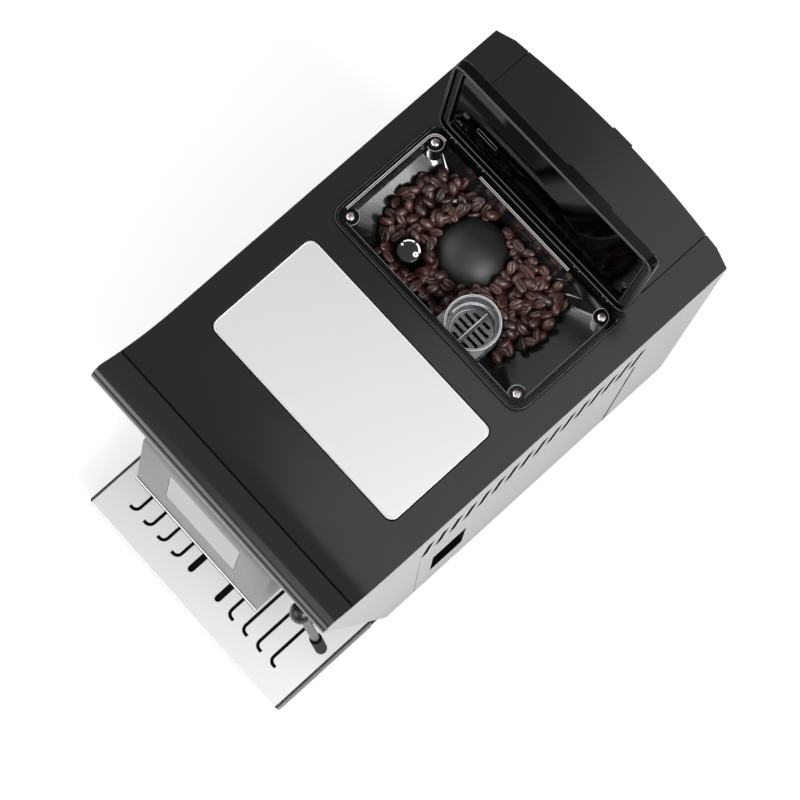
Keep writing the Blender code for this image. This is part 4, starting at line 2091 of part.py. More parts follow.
def brew_piston():
    """The piston that presses the coffee, moved by a nut on the screw."""
    radius = CHAMBER_RADIUS - BREW_WALL - GAP
    bottom = CHAMBER_TOP + GAP
    piston = drum("brew_piston", (CHAMBER_X, CHAMBER_Y, 0.0), radius, bottom, bottom + PISTON_THICK, steps=32)
    arm_low = bottom + PISTON_THICK + PISTON_STEM
    arm_top = arm_low + ARM_THICK
    join(
        piston,
        drum(
            "piston_stem", (CHAMBER_X, CHAMBER_Y, 0.0), PISTON_STEM_RADIUS,
            bottom + PISTON_THICK - OVERRUN, arm_low + OVERRUN, steps=20,
        ),
        block(
            "piston_arm",
            (CHAMBER_X - PISTON_ARM / 2, CHAMBER_Y - PISTON_ARM, arm_low),
            (CHAMBER_X + PISTON_ARM / 2, SCREW_Y, arm_top),
        ),
        drum(
            "nut", (CHAMBER_X, SCREW_Y, 0.0), NUT_RADIUS, arm_low - NUT_OVERHANG,
            arm_top + NUT_OVERHANG, steps=20,
        ),
    )
    cut(piston, drum(
        "nut_bore", (CHAMBER_X, SCREW_Y, 0.0), DRIVE_RADIUS + PIN_CLEAR,
        arm_low - NUT_OVERHANG - OVERRUN, arm_top + NUT_OVERHANG + OVERRUN, steps=20,
    ))
    return finish(piston, grey_plastic(), (CHAMBER_X, CHAMBER_Y, bottom))


def drive_screw():
    """A vertical screw between two bearings, with its wheel below."""
    low = BASE_TOP + GAP * 2
    end = DRIVE_RADIUS * BEARING_SHARE
    profile = [
        (0.0, BREW_TOP - GAP), (end, BREW_TOP - GAP), (end, BREW_TOP - BREW_WALL - GAP),
        (DRIVE_RADIUS, BREW_TOP - BREW_WALL - GAP), (DRIVE_RADIUS, WHEEL_TOP),
        (WHEEL_RADIUS, WHEEL_TOP), (WHEEL_RADIUS, WHEEL_TOP - WHEEL_THICK),
        (end, WHEEL_TOP - WHEEL_THICK), (end, low), (0.0, low),
    ]
    screw = turned("drive_screw", profile, (CHAMBER_X, SCREW_Y, 0.0), steps=20)
    return finish(screw, plain_steel(), (CHAMBER_X, SCREW_Y, low))


def brew_motor():
    x = CHAMBER_X + WHEEL_RADIUS + MOTOR_PINION + GAP
    profile = [
        (0.0, BREW_MOTOR_TOP), (BREW_MOTOR_RADIUS, BREW_MOTOR_TOP),
        (BREW_MOTOR_RADIUS, WHEEL_TOP + GAP * 2), (MOTOR_PINION, WHEEL_TOP + GAP * 2),
        (MOTOR_PINION, BASE_TOP + GAP + BREW_WALL + GAP), (0.0, BASE_TOP + GAP + BREW_WALL + GAP),
    ]
    return finish(turned("brew_motor", profile, (x, SCREW_Y, 0.0), steps=24), plain_steel())


# The mains inlet and the switch

def power_inlet():
    """The appliance inlet in the rear panel, with its three blades."""
    face = back_edge(INLET_X) + INLET_PROUD
    half = INLET_WIDTH / 2
    inlet = block(
        "power_inlet",
        (INLET_X - half, face - INLET_DEPTH, MAINS_Z - INLET_HEIGHT / 2),
        (INLET_X + half, face, MAINS_Z + INLET_HEIGHT / 2),
    )
    room = rounded_rectangle(
        INLET_X - half + INLET_WALL, INLET_X + half - INLET_WALL,
        MAINS_Z - INLET_HEIGHT / 2 + INLET_WALL, MAINS_Z + INLET_HEIGHT / 2 - INLET_WALL, INLET_WALL,
    )
    floor = face - INLET_DEPTH + INLET_WALL * 2
    cut(inlet, prism("inlet_room", [room], floor, face + OVERRUN, "Y"))
    for shift, rise in ((-BLADE_PITCH, 0.0), (0.0, BLADE_RISE), (BLADE_PITCH, 0.0)):
        x = INLET_X + shift
        join(inlet, block(
            "blade",
            (x - BLADE_THICK / 2, floor - GAP, MAINS_Z + rise - BLADE_WIDTH / 2),
            (x + BLADE_THICK / 2, face - INLET_WALL, MAINS_Z + rise + BLADE_WIDTH / 2),
        ))
    return finish(inlet, matt_black())


def switch_frame():
    face = back_edge(SWITCH_X) + INLET_PROUD
    x = SWITCH_WIDTH / 2
    z = SWITCH_HEIGHT / 2
    frame = block(
        "switch_frame",
        (SWITCH_X - x, face - INLET_DEPTH, MAINS_Z - z), (SWITCH_X + x, face, MAINS_Z + z),
    )
    wall = INLET_WALL
    cut(frame, block(
        "rocker_room",
        (SWITCH_X - x + wall, face - INLET_DEPTH + wall, MAINS_Z - z + wall),
        (SWITCH_X + x - wall, face + OVERRUN, MAINS_Z + z - wall),
    ))
    return finish(frame, matt_black())


def power_switch():
    """The rocker: two faces that meet at a shallow angle over its pivot."""
    pivot_y = back_edge(SWITCH_X) + INLET_PROUD - ROCKER_DEPTH
    half = SWITCH_HEIGHT / 2 - INLET_WALL - ROCKER_GAP
    x = SWITCH_WIDTH / 2 - INLET_WALL - GAP
    face = pivot_y + ROCKER_DEPTH
    outline = [
        (pivot_y - ROCKER_DEPTH / 3, MAINS_Z - half), (face, MAINS_Z - half),
        (face - ROCKER_DIP, MAINS_Z), (face, MAINS_Z + half),
        (pivot_y - ROCKER_DEPTH / 3, MAINS_Z + half), (pivot_y - ROCKER_DEPTH, MAINS_Z),
    ]
    rocker = prism("power_switch", [outline], SWITCH_X - x, SWITCH_X + x, "X")
    return finish(rocker, gloss_black(), (SWITCH_X, pivot_y, MAINS_Z))


def build_machine():
    base_chassis()
    feet()
    inner_frame()
    left_side_panel()
    right_side_panel()
    service_door()
    door_hinge_pins()
    rear_panel()
    power_inlet()
    switch_frame()
    power_switch()
    top_cover()
    front_lip()
    cup_plate()
    front_fascia()
    push_buttons()
    display_housing()
    display_window()
    spout_nozzles(coffee_spout())
    steam_collar()
    froth_sleeve(steam_wand())
    tray = drip_tray()
    drip_grille(tray)
    grounds_container(tray)
    hopper_shell()
    hopper_rim()
    rim_screws()
    lid_gasket(hopper_lid())
    lid_hinge_rod()
    powder_chute()
    grinder_cap()
    grind_knob()
    upper_burr()
    lower_burr()
    grinder_body()
    grinder_motor()
    tank_lid(water_tank())
    pump()
    thermoblock()
    circuit_board()
    hoses()
    brew_unit()
    brew_piston()
    drive_screw()
    brew_motor()


clear_scene()
PARTS = make_collection("automatic_espresso_machine")
CUTTERS = make_collection("cutters")
build_machine()
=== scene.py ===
# %% [markdown]
# # An automatic espresso machine, seen from above
#
# This lesson dresses a measured model of a bean-to-cup espresso machine. Its solids
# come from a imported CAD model, and every piece made here rides on one of its bodies.
# A photograph from above shows a black glossy cover, silver sides, a steel cup plate
# and an open hopper with roasted beans. We start with the tools that all cells share.

import math
import random

import bmesh
import bpy
from mathutils import Euler, Matrix, Vector
from mathutils.bvhtree import BVHTree


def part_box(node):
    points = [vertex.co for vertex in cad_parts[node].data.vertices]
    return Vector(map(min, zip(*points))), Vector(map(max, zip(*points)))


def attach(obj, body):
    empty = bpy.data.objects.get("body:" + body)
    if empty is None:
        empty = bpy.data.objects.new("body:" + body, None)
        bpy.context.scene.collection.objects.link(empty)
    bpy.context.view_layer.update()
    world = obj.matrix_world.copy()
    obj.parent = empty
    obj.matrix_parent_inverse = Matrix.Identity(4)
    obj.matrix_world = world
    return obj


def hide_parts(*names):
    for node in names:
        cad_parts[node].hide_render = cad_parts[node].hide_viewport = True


MM = 0.001
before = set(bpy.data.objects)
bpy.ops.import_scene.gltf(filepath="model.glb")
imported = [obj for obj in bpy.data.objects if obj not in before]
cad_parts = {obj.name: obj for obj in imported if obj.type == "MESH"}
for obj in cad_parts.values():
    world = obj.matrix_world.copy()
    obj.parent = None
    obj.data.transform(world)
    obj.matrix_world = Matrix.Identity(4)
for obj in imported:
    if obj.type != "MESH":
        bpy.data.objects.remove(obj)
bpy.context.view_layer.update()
print("CAD solids:", len(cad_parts))

# %% [markdown]
# ## Colours and nodes
#
# Colours are written as the hex values one reads off a screen. Blender's shaders
# work in linear light, so one function turns them. A second small function adds a
# shader node, sets it and joins it up, which keeps every finish short.

# %% Colour and node helpers
def linear(hex_colour):
    """Turn an sRGB hex colour into linear red, green, blue and alpha."""
    channels = []
    for start in (1, 3, 5):
        value = int(hex_colour[start:start + 2], 16) / 255
        if value <= 0.04045:
            channels.append(value / 12.92)
        else:
            channels.append(((value + 0.055) / 1.055) ** 2.4)
    return (*channels, 1.0)


def start_finish(name, colour, roughness, metallic=0.0):
    """Make a material and return it with its shader and its object coordinates."""
    surface = bpy.data.materials.new(name)
    surface.use_nodes = True
    shader = surface.node_tree.nodes["Principled BSDF"]
    shader.inputs["Base Color"].default_value = linear(colour)
    shader.inputs["Roughness"].default_value = roughness
    shader.inputs["Metallic"].default_value = metallic
    place = surface.node_tree.nodes.new("ShaderNodeTexCoord").outputs["Object"]
    return surface, shader, place


def add(surface, kind, links=None, **settings):
    """Add one node, set its settings and sockets, and return it."""
    tree = surface.node_tree
    node = tree.nodes.new("ShaderNode" + kind)
    for key, value in settings.items():
        setattr(node, key, value)
    for socket, value in (links or {}).items():
        if isinstance(value, bpy.types.NodeSocket):
            tree.links.new(value, node.inputs[socket])
        else:
            node.inputs[socket].default_value = value
    return node


def plug(surface, output, shader, socket):
    """Join an output to a socket of the shader."""
    surface.node_tree.links.new(output, shader.inputs[socket])


def per_mm(size):
    """Scale of a noise whose grains measure this many millimetres."""
    return 1.0 / (size * MM)


print("white turns to", linear("#ffffff"))

# %% [markdown]
# ## Moulded and polished plastics
#
# The cover is ABS from a mirror-polished mould. Such plastic is never quite flat:
# a slow ripple a few millimetres long bends its reflections. The fascia, tray and
# base come from a mould eroded by sparks, which leaves a fine grain of about
# 0.3 mm that scatters light and looks matt. One function serves both, because only
# the colour, the gloss and the grain differ. The funnel and the lip also carry a
# clear coat, which gives them a soft second reflection.

# %% Plastics
RIPPLE_MM = 14.0
CLOUD_MM = 45.0
SMOOTHEST = 0.02
GLOSS_SPREAD = 0.04
COAT_ROUGHNESS = 0.14
RUBBER_SPECULAR = 0.2


def moulded(name, colour, roughness, grain_mm, grain_depth_mm, ripple_depth_mm=0.0):
    """Solid moulded plastic with a grain, a slow ripple and uneven gloss."""
    surface, shader, place = start_finish(name, colour, roughness)
    grain = add(surface, "TexNoise", {"Vector": place, "Scale": per_mm(grain_mm), "Detail": 3.0})
    bump = add(surface, "Bump", {
        "Height": grain.outputs["Fac"], "Distance": grain_depth_mm * MM, "Strength": 1.0,
    })
    normal = bump.outputs["Normal"]
    if ripple_depth_mm:
        ripple = add(surface, "TexNoise", {"Vector": place, "Scale": per_mm(RIPPLE_MM), "Detail": 1.0})
        slow = add(surface, "Bump", {
            "Height": ripple.outputs["Fac"], "Distance": ripple_depth_mm * MM, "Normal": normal,
        })
        normal = slow.outputs["Normal"]
    plug(surface, normal, shader, "Normal")
    cloud = add(surface, "TexNoise", {"Vector": place, "Scale": per_mm(CLOUD_MM), "Detail": 4.0})
    gloss = add(surface, "MapRange", {
        "Value": cloud.outputs["Fac"],
        "To Min": max(roughness - GLOSS_SPREAD, SMOOTHEST), "To Max": roughness + GLOSS_SPREAD,
    })
    plug(surface, gloss.outputs["Result"], shader, "Roughness")
    return surface


cover_abs = moulded("mirror_moulded_black_abs", "#0c0c0d", 0.16, 1.1, 0.0006, 0.004)
lip_abs = moulded("coated_black_lip_abs", "#0b0b0c", 0.2, 0.6, 0.001, 0.0)
grained_abs = moulded("spark_grained_black_abs", "#19191a", 0.5, 0.35, 0.02)
funnel_abs = moulded("satin_black_funnel_abs", "#18181a", 0.2, 0.8, 0.001, 0.006)
for lacquered, coat in ((funnel_abs, 1.0), (lip_abs, 0.35)):
    shader = lacquered.node_tree.nodes["Principled BSDF"]
    shader.inputs["Coat Weight"].default_value = coat
    shader.inputs["Coat Roughness"].default_value = COAT_ROUGHNESS
dome_abs = moulded("satin_black_dome_abs", "#161618", 0.5, 0.5, 0.002)
grey_abs = moulded("silver_grey_lacquered_abs", "#58585a", 0.36, 0.4, 0.002)
tray_abs = moulded("fine_grained_tray_abs", "#151516", 0.42, 0.35, 0.012)
foot_rubber = moulded("moulded_foot_rubber", "#101010", 0.75, 0.5, 0.03)
sleeve_rubber = moulded("black_sleeve_rubber", "#050505", 0.7, 0.5, 0.01)
sleeve_shader = sleeve_rubber.node_tree.nodes["Principled BSDF"]
sleeve_shader.inputs["Specular IOR Level"].default_value = RUBBER_SPECULAR
wand_nylon = moulded("black_nylon_wand_sleeve", "#0a0a0b", 0.32, 0.5, 0.002)
hose_silicone = moulded("extruded_white_silicone", "#d9d8d4", 0.45, 0.6, 0.006)
burr_ceramic = moulded("sintered_burr_ceramic", "#e6e2d8", 0.4, 0.25, 0.006)
board_laminate = moulded("green_glass_fibre_laminate", "#1f5a34", 0.35, 0.5, 0.01)
print("plastics:", len(bpy.data.materials))

# %% [markdown]
# ## Clear polycarbonate
#
# The powder chute and the water tank are clear polycarbonate, with an index of
# refraction near 1.585. The hopper's frame and lid are the same plastic with a
# smoke tint. Light passes with almost no scatter, so only their edges and the
# double walls catch the eye. The smoked pieces mirror the beans only faintly in the
# photograph, so their index of refraction is matched to that and is a lower one.

# %% Clear plastics
POLYCARBONATE_IOR = 1.585
SMOKED_IOR = 1.27
FLOW_MM = 9.0


def clear(name, tint, roughness, ripple_depth_mm, haze=0.0, ior=POLYCARBONATE_IOR):
    """Clear moulded plastic whose faces ripple slightly; haze scatters some light."""
    surface, shader, place = start_finish(name, tint, roughness)
    shader.inputs["Transmission Weight"].default_value = 1.0 - haze
    shader.inputs["IOR"].default_value = ior
    ripple = add(surface, "TexNoise", {"Vector": place, "Scale": per_mm(FLOW_MM), "Detail": 2.0})
    bump = add(surface, "Bump", {"Height": ripple.outputs["Fac"], "Distance": ripple_depth_mm * MM})
    plug(surface, bump.outputs["Normal"], shader, "Normal")
    return surface


clear_chute = clear("clear_chute_polycarbonate", "#d0d2d6", 0.05, 0.001, 0.1)
clear_tank = clear("clear_tank_polycarbonate", "#dfe6ea", 0.04, 0.01)
smoked_frame = clear("smoked_frame_polycarbonate", "#3e3f41", 0.06, 0.006, 0.02, ior=SMOKED_IOR)
smoked_lid = clear("smoked_lid_polycarbonate", "#0d0d0e", 0.09, 0.003, ior=SMOKED_IOR)
print("clear plastics ready")

# %% [markdown]
# ## Metals
#
# The cup plate and the drip grille are stainless steel sheet. The plate is
# brushed along its length with a fine belt, whose scratches run along X. They are
# about 0.15 mm wide and drawn as 0.25 mm, so that they show. The grille is polished,
# and a small metallic share keeps its mirror of the white sky even. Plain noise
# stretched along one axis gives the brushing.

# %% Metals
BRUSH_WIDTH_MM = 0.25
BRUSH_LENGTH_MM = 40.0
SCRATCH_GLOSS_LOW = 0.8
SCRATCH_GLOSS_HIGH = 1.25


def brushed(name, colour, roughness, along, scratch_depth_mm, metallic=1.0):
    """Sheet metal whose belt scratches run along one axis."""
    surface, shader, place = start_finish(name, colour, roughness, metallic)
    stretch = [per_mm(BRUSH_WIDTH_MM)] * 3
    stretch["XYZ".index(along)] = per_mm(BRUSH_LENGTH_MM)
    lines = add(surface, "Mapping", {"Vector": place, "Scale": stretch})
    scratch = add(surface, "TexNoise", {"Vector": lines.outputs["Vector"], "Scale": 1.0, "Detail": 3.0})
    bump = add(surface, "Bump", {"Height": scratch.outputs["Fac"], "Distance": scratch_depth_mm * MM})
    plug(surface, bump.outputs["Normal"], shader, "Normal")
    gloss = add(surface, "MapRange", {
        "Value": scratch.outputs["Fac"],
        "To Min": roughness * SCRATCH_GLOSS_LOW, "To Max": roughness * SCRATCH_GLOSS_HIGH,
    })
    plug(surface, gloss.outputs["Result"], shader, "Roughness")
    return surface


plate_steel = brushed("brushed_cup_plate_steel", "#d7d7d7", 0.48, "X", 0.0012)
grille_steel = brushed("polished_grille_steel", "#c9c9c9", 0.2, "X", 0.0003, 0.12)
# A near-white copy of the steel paints the highlight on the grille's edges
highlight_steel = brushed("painted_highlight_steel", "#fbfbfb", 0.3, "X", 0.0002, 0.3)
turned_steel = brushed("polished_round_steel", "#cfcfcf", 0.14, "Z", 0.0003)
screw_steel = brushed("nickel_plated_screw_steel", "#c4bab7", 0.22, "Z", 0.0004)
zinc_steel = brushed("zinc_plated_steel", "#9c9ea0", 0.38, "Z", 0.002)
cast_aluminium = brushed("bead_blasted_cast_aluminium", "#a9aaac", 0.5, "Z", 0.004)
print("bare metals ready")

# %% [markdown]
# The sides are sheet steel under a sprayed silver lacquer. Its aluminium flakes are
# about 0.2 mm wide and drawn as 0.35 mm, so that they show. A Voronoi pattern gives
# each flake its own brightness, over the faint orange peel of a sprayed coat.

# %% Silver lacquer
SILVER = "#8c8c8d"
LACQUER_ROUGHNESS = 0.38
LACQUER_METAL = 0.55
FLAKE_MM = 0.35
FLAKE_DARKEST = 0.90
FLAKE_LIGHTEST = 1.06
PEEL_MM = 1.8
PEEL_DEPTH_MM = 0.004


def flake_lacquer(name, colour):
    """Silver lacquer: small flakes differ in brightness over an orange peel."""
    surface, shader, place = start_finish(name, colour, LACQUER_ROUGHNESS, LACQUER_METAL)
    flakes = add(surface, "TexVoronoi", {"Vector": place, "Scale": per_mm(FLAKE_MM)})
    sparkle = add(surface, "MapRange", {
        "Value": flakes.outputs["Color"], "To Min": FLAKE_DARKEST, "To Max": FLAKE_LIGHTEST,
    })
    mixed = add(surface, "VectorMath", {
        0: linear(colour)[:3], "Scale": sparkle.outputs["Result"],
    }, operation="SCALE")
    plug(surface, mixed.outputs["Vector"], shader, "Base Color")
    peel = add(surface, "TexNoise", {"Vector": place, "Scale": per_mm(PEEL_MM), "Detail": 2.0})
    bump = add(surface, "Bump", {"Height": peel.outputs["Fac"], "Distance": PEEL_DEPTH_MM * MM})
    plug(surface, bump.outputs["Normal"], shader, "Normal")
    return surface


silver_lacquer = flake_lacquer("silver_flake_lacquer", SILVER)
vent_shade_lacquer = flake_lacquer("silver_flake_lacquer_painted_vent_shade", SILVER)
print("lacquered sheets ready")

# %% [markdown]
# The vent slots of the side sheets get black rims wider than the slots, as painted
# shade, and a black band paints the shade in the gap behind the door. Both follow from
# the distance to the slots' leaning middle lines and to the door's rear edge, so they
# are worked out in the shader, in millimetres.

# %% Painted shade of vents and door
VENT_FIRST_MM = -69.6
VENT_PITCH_MM = 13.9
VENT_COUNT = 16
VENT_MIDDLE_MM = 275.0
VENT_HALF_HEIGHT_MM = 22.0
VENT_LEAN = math.tan(math.radians(8.5))
VENT_SHADE_HALF_MM = 3.1
GAP_SHADE_HALF_MM = 1.3
VENT_SHADE_BLACK = "#050505"
PLAIN_SPECULAR = 0.5


def math_node(surface, operation, first, second=0.0):
    """The output of one arithmetic node."""
    return add(surface, "Math", {0: first, 1: second}, operation=operation).outputs["Value"]


def is_near(surface, value, middle, reach):
    """One where a value lies within a reach of a middle value, else zero."""
    away = math_node(surface, "SUBTRACT", value, middle)
    return math_node(surface, "LESS_THAN", math_node(surface, "ABSOLUTE", away), reach)


def paint_vent_and_gap_shade(surface, door_low, door_high):
    """Paint black shade round the slots and in the gap behind the door."""
    shader = surface.node_tree.nodes["Principled BSDF"]
    place = add(surface, "TexCoord").outputs["Object"]
    split = add(surface, "SeparateXYZ", {"Vector": place})
    depth, height = split.outputs["Y"], split.outputs["Z"]
    rise = math_node(surface, "SUBTRACT", height, VENT_MIDDLE_MM * MM)
    upright = math_node(surface, "SUBTRACT", depth, math_node(surface, "MULTIPLY", rise, VENT_LEAN))
    row = VENT_PITCH_MM * (VENT_COUNT - 1) / 2 * MM
    start = math_node(surface, "SUBTRACT", upright, VENT_FIRST_MM * MM)
    away = math_node(surface, "PINGPONG", start, VENT_PITCH_MM / 2 * MM)
    vent_shade = math_node(surface, "LESS_THAN", away, VENT_SHADE_HALF_MM * MM)
    vent_shade = math_node(surface, "MULTIPLY", vent_shade, is_near(surface, rise, 0.0, VENT_HALF_HEIGHT_MM * MM))
    within = is_near(surface, start, row, row + VENT_PITCH_MM / 2 * MM)
    vent_shade = math_node(surface, "MULTIPLY", vent_shade, within)
    # seal: the painted shade in the gap behind the door
    seal = is_near(surface, depth, door_high.y, GAP_SHADE_HALF_MM * MM)
    middle = (door_low.z + door_high.z) / 2
    beside = is_near(surface, height, middle, door_high.z - middle)
    # dark is one where painted shade goes, zero elsewhere
    dark = math_node(surface, "MAXIMUM", vent_shade, math_node(surface, "MULTIPLY", seal, beside))
    base = shader.inputs["Base Color"].links[0].from_socket
    colour = add(surface, "Mix", {"Factor": dark, 6: base, 7: linear(VENT_SHADE_BLACK)}, data_type="RGBA")
    plug(surface, colour.outputs[2], shader, "Base Color")
    clean = math_node(surface, "SUBTRACT", 1.0, dark)
    plug(surface, math_node(surface, "MULTIPLY", clean, LACQUER_METAL), shader, "Metallic")
    plug(surface, math_node(surface, "MULTIPLY", clean, PLAIN_SPECULAR), shader, "Specular IOR Level")


# Painted shade round the vents and behind the door
paint_vent_and_gap_shade(vent_shade_lacquer, *(Vector(corner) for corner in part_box("service_door")))
print("panel stands at", tuple(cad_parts["right_side_panel"].matrix_world.translation))

# %% [markdown]
# ## Roasted coffee beans
#
# A medium roast is a dark reddish brown. The skin is dry with a faint oily sheen,
# and it is mottled in patches of a millimetre or two. The faces in the crease along
# the flat side get a darker copy of the skin, as painted shade. Each bean gets its own
# tone through a random value per mesh island, so a single mesh can hold hundreds of
# different beans.

# %% Bean finish
OIL_COAT = 0.22
OIL_ROUGHNESS = 0.25
MOTTLE_MM = 1.8
PALE_FROM = 0.3
PALE_FULL = 1.5
WRINKLE_MM = 1.1
WRINKLE_DEPTH_MM = 0.12
WRINKLE_STRENGTH = 0.7


def roasted(name, dark, pale, roughness):
    """Skin of a roasted bean, mottled and different on each bean."""
    surface, shader, place = start_finish(name, dark, roughness)
    shader.inputs["Coat Weight"].default_value = OIL_COAT
    shader.inputs["Coat Roughness"].default_value = OIL_ROUGHNESS
    patches = add(surface, "TexNoise", {"Vector": place, "Scale": per_mm(MOTTLE_MM), "Detail": 4.0})
    island = add(surface, "NewGeometry")
    shade = add(surface, "Math", {
        0: patches.outputs["Fac"], 1: island.outputs["Random Per Island"],
    }, operation="ADD")
    share = add(surface, "MapRange", {
        "Value": shade.outputs["Value"], "From Min": PALE_FROM, "From Max": PALE_FULL,
    })
    colour = add(surface, "Mix", {
        "Factor": share.outputs["Result"], 6: linear(dark), 7: linear(pale),
    }, data_type="RGBA")
    plug(surface, colour.outputs[2], shader, "Base Color")
    wrinkle = add(surface, "TexNoise", {"Vector": place, "Scale": per_mm(WRINKLE_MM), "Detail": 3.0})
    bump = add(surface, "Bump", {
        "Height": wrinkle.outputs["Fac"], "Distance": WRINKLE_DEPTH_MM * MM, "Strength": WRINKLE_STRENGTH,
    })
    plug(surface, bump.outputs["Normal"], shader, "Normal")
    return surface


bean_skin = roasted("medium_roast_bean_skin", "#180a08", "#44221a", 0.44)
# A darker copy of the skin: painted shade in the crease
crease_shade_skin = roasted("bean_crease_painted_shade", "#0b0403", "#301a13", 0.6)
print("bean finishes ready")

# %% [markdown]
# ## Small plain finishes
#
# Printed marks on the grinding knob are white pad-printing ink. The display is off,
# and its window gets an even pale grey that paints the reflection of the bright room.
# Polished edges of clear plastic catch the light as thin lines; lighter and darker
# painted highlights, one for each kind of edge, stand in for them.

# %% Ink, display and painted highlight finishes
white_ink = moulded("white_pad_print", "#f2f2f2", 0.5, 0.4, 0.001)
display_reflection_grey = moulded("display_painted_reflection_grey", "#8c8c8e", 0.3, 2.0, 0.0003)
# Lighter and darker copies of one edge finish: painted highlights on clear plastic
highlight_bright = moulded("painted_highlight_bright", "#b4b4b7", 0.16, 0.8, 0.0004)
highlight_soft = moulded("painted_highlight_soft", "#4c4c4f", 0.2, 0.8, 0.0004)
highlight_mid = moulded("painted_highlight_mid", "#7d7d80", 0.2, 0.8, 0.0004)
highlight_chute = moulded("painted_highlight_chute", "#b9b9bd", 0.2, 0.8, 0.0004)
highlight_dim = moulded("painted_highlight_dim", "#37373a", 0.2, 0.8, 0.0004)
print("finishes:", len(bpy.data.materials))

# %% [markdown]
# ## Dressing the CAD pieces
#
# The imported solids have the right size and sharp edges. A real moulded or folded
# edge has a small radius that catches a line of light, so each solid gets a Bevel
# modifier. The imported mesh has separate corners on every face, so a Weld comes
# first, and a weighted normal last keeps the broad faces flat.

# %% Edge radii
EDGE_ANGLE = math.radians(32)
EDGE_SEGMENTS = 2
WELD_REACH_MM = 0.01
FACE_WEIGHT = 100


def soften(node, radius_mm, edge=None):
    """Round the edges of a CAD node with modifiers, leaving its mesh as packed."""
    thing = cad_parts[node]
    weld = thing.modifiers.new("Weld corners", "WELD")
    weld.merge_threshold = WELD_REACH_MM * MM
    bevel = thing.modifiers.new("Edge radius", "BEVEL")
    bevel.width = radius_mm * MM
    bevel.segments = EDGE_SEGMENTS
    bevel.limit_method = "ANGLE"
    bevel.angle_limit = EDGE_ANGLE
    bevel.miter_outer = "MITER_ARC"
    if edge is not None:
        thing.data.materials.append(edge)
        bevel.material = len(thing.data.materials) - 1
    flatten = thing.modifiers.new("Flat faces", "WEIGHTED_NORMAL")
    flatten.weight = FACE_WEIGHT
    flatten.keep_sharp = True
    for polygon in thing.data.polygons:
        polygon.use_smooth = True


print("edges above", round(math.degrees(EDGE_ANGLE)), "degrees get a radius")

# %% [markdown]
# One table says which finish each node wears and how round its edges are. The
# grille, the frame and the lid get a lighter finish on their edges, as painted highlight.

# %% A finish for every node
def paint(surface, *nodes):
    """Give CAD nodes a finish."""
    for node in nodes:
        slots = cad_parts[node].data.materials
        slots.clear()
        slots.append(surface)


# Each row has a finish, the nodes that wear it and the radius of their edges in mm.
finishes = {
    "cover": (cover_abs, ["top_cover", "tank_lid"], 0.5),
    "lip": (lip_abs, ["front_lip"], 0.5),
    "sides": (vent_shade_lacquer, ["left_side_panel", "right_side_panel"], 0.15),
    "door": (silver_lacquer, ["service_door"], 0.15),
    "rear": (grained_abs, ["rear_panel"], 0.5),
    "fascia": (grained_abs, ["front_fascia"], 0.5),
    "base": (grained_abs, ["base_chassis", "inner_frame", "brew_unit"], 0.4),
    "spout": (tray_abs, ["coffee_spout"], 1.2),
    "tray": (tray_abs, ["drip_tray", "grounds_container"], 0.8),
    "mains": (grained_abs, ["power_inlet", "switch_frame"], 0.3),
    "plate": (plate_steel, ["cup_plate"], 0.5),
    "grille": (grille_steel, ["drip_grille"], 0.6),
    "nozzles": (turned_steel, ["spout_nozzle_left", "spout_nozzle_right"], 0.3),
    "hinges": (turned_steel, ["door_hinge_pin_lower", "door_hinge_pin_upper", "lid_hinge_rod"], 0.1),
    "wand": (wand_nylon, ["steam_wand"], 0.2),
    "sleeve": (sleeve_rubber, ["froth_sleeve"], 0.3),
    "collar": (grained_abs, ["steam_collar"], 0.5),
    "hopper": (funnel_abs, ["hopper_shell"], 0.4),
    "dome": (dome_abs, ["grinder_cap"], 0.3),
    "knob": (lip_abs, ["grind_knob"], 0.3),
    "frame": (smoked_frame, ["hopper_rim"], 0.25),
    "lid": (smoked_lid, ["hopper_lid"], 0.5),
    "chute": (clear_chute, ["powder_chute"], 0.25),
    "tank": (clear_tank, ["water_tank"], 0.6),
    "display": (grey_abs, ["display_housing"], 0.8),
    "window": (display_reflection_grey, ["display_window"], 0.3),
    "buttons": (grey_abs, ["push_button_1", "push_button_2"], 0.4),
    "rocker": (lip_abs, ["power_switch"], 0.4),
    "front feet": (foot_rubber, ["foot_front_left", "foot_front_right"], 0.4),
    "rear feet": (foot_rubber, ["foot_rear_left", "foot_rear_right"], 0.4),
    "seal": (foot_rubber, ["lid_gasket"], 0.3),
    "hoses": (hose_silicone, ["hose_tank_to_pump", "hose_pump_to_heater", "hose_heater_to_wand"], 0.1),
    "castings": (cast_aluminium, ["grinder_body", "thermoblock"], 0.6),
    "machines": (zinc_steel, ["grinder_motor", "pump", "brew_motor", "drive_screw"], 0.5),
    "burrs": (burr_ceramic, ["upper_burr", "lower_burr"], 0.3),
    "piston": (grey_abs, ["brew_piston"], 0.4),
    "board": (board_laminate, ["circuit_board"], 0.2),
}
# Painted highlights on the bevels of these nodes
edges = {"drip_grille": highlight_steel, "hopper_rim": highlight_dim, "hopper_lid": highlight_soft}
for surface, nodes, radius in finishes.values():
    paint(surface, *nodes)
    for node in nodes:
        soften(node, radius, edge=edges.get(node))
dressed = sum(len(row[1]) for row in finishes.values())
print("dressed", dressed, "of", len(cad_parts), "CAD nodes")

# %% [markdown]
# ## Floor, light and camera
#
# The machine stands on pale paper under a white sky. A little glow, which only the
# camera and the clear plastics see, lifts the paper to the white of a studio shot
# without lighting the machine from below.

# %% Floor and sky
FLOOR_SIZE = 6.0
FLOOR_DROP = 0.0002
PAPER_LIFT = 0.1
FIBRE_MM = 1.2
FIBRE_DEPTH_MM = 0.01
SKY_STRENGTH = 0.45


def show(name, data):
    """Make an object from its data and link it to the scene."""
    thing = bpy.data.objects.new(name, data)
    bpy.context.scene.collection.objects.link(thing)
    return thing


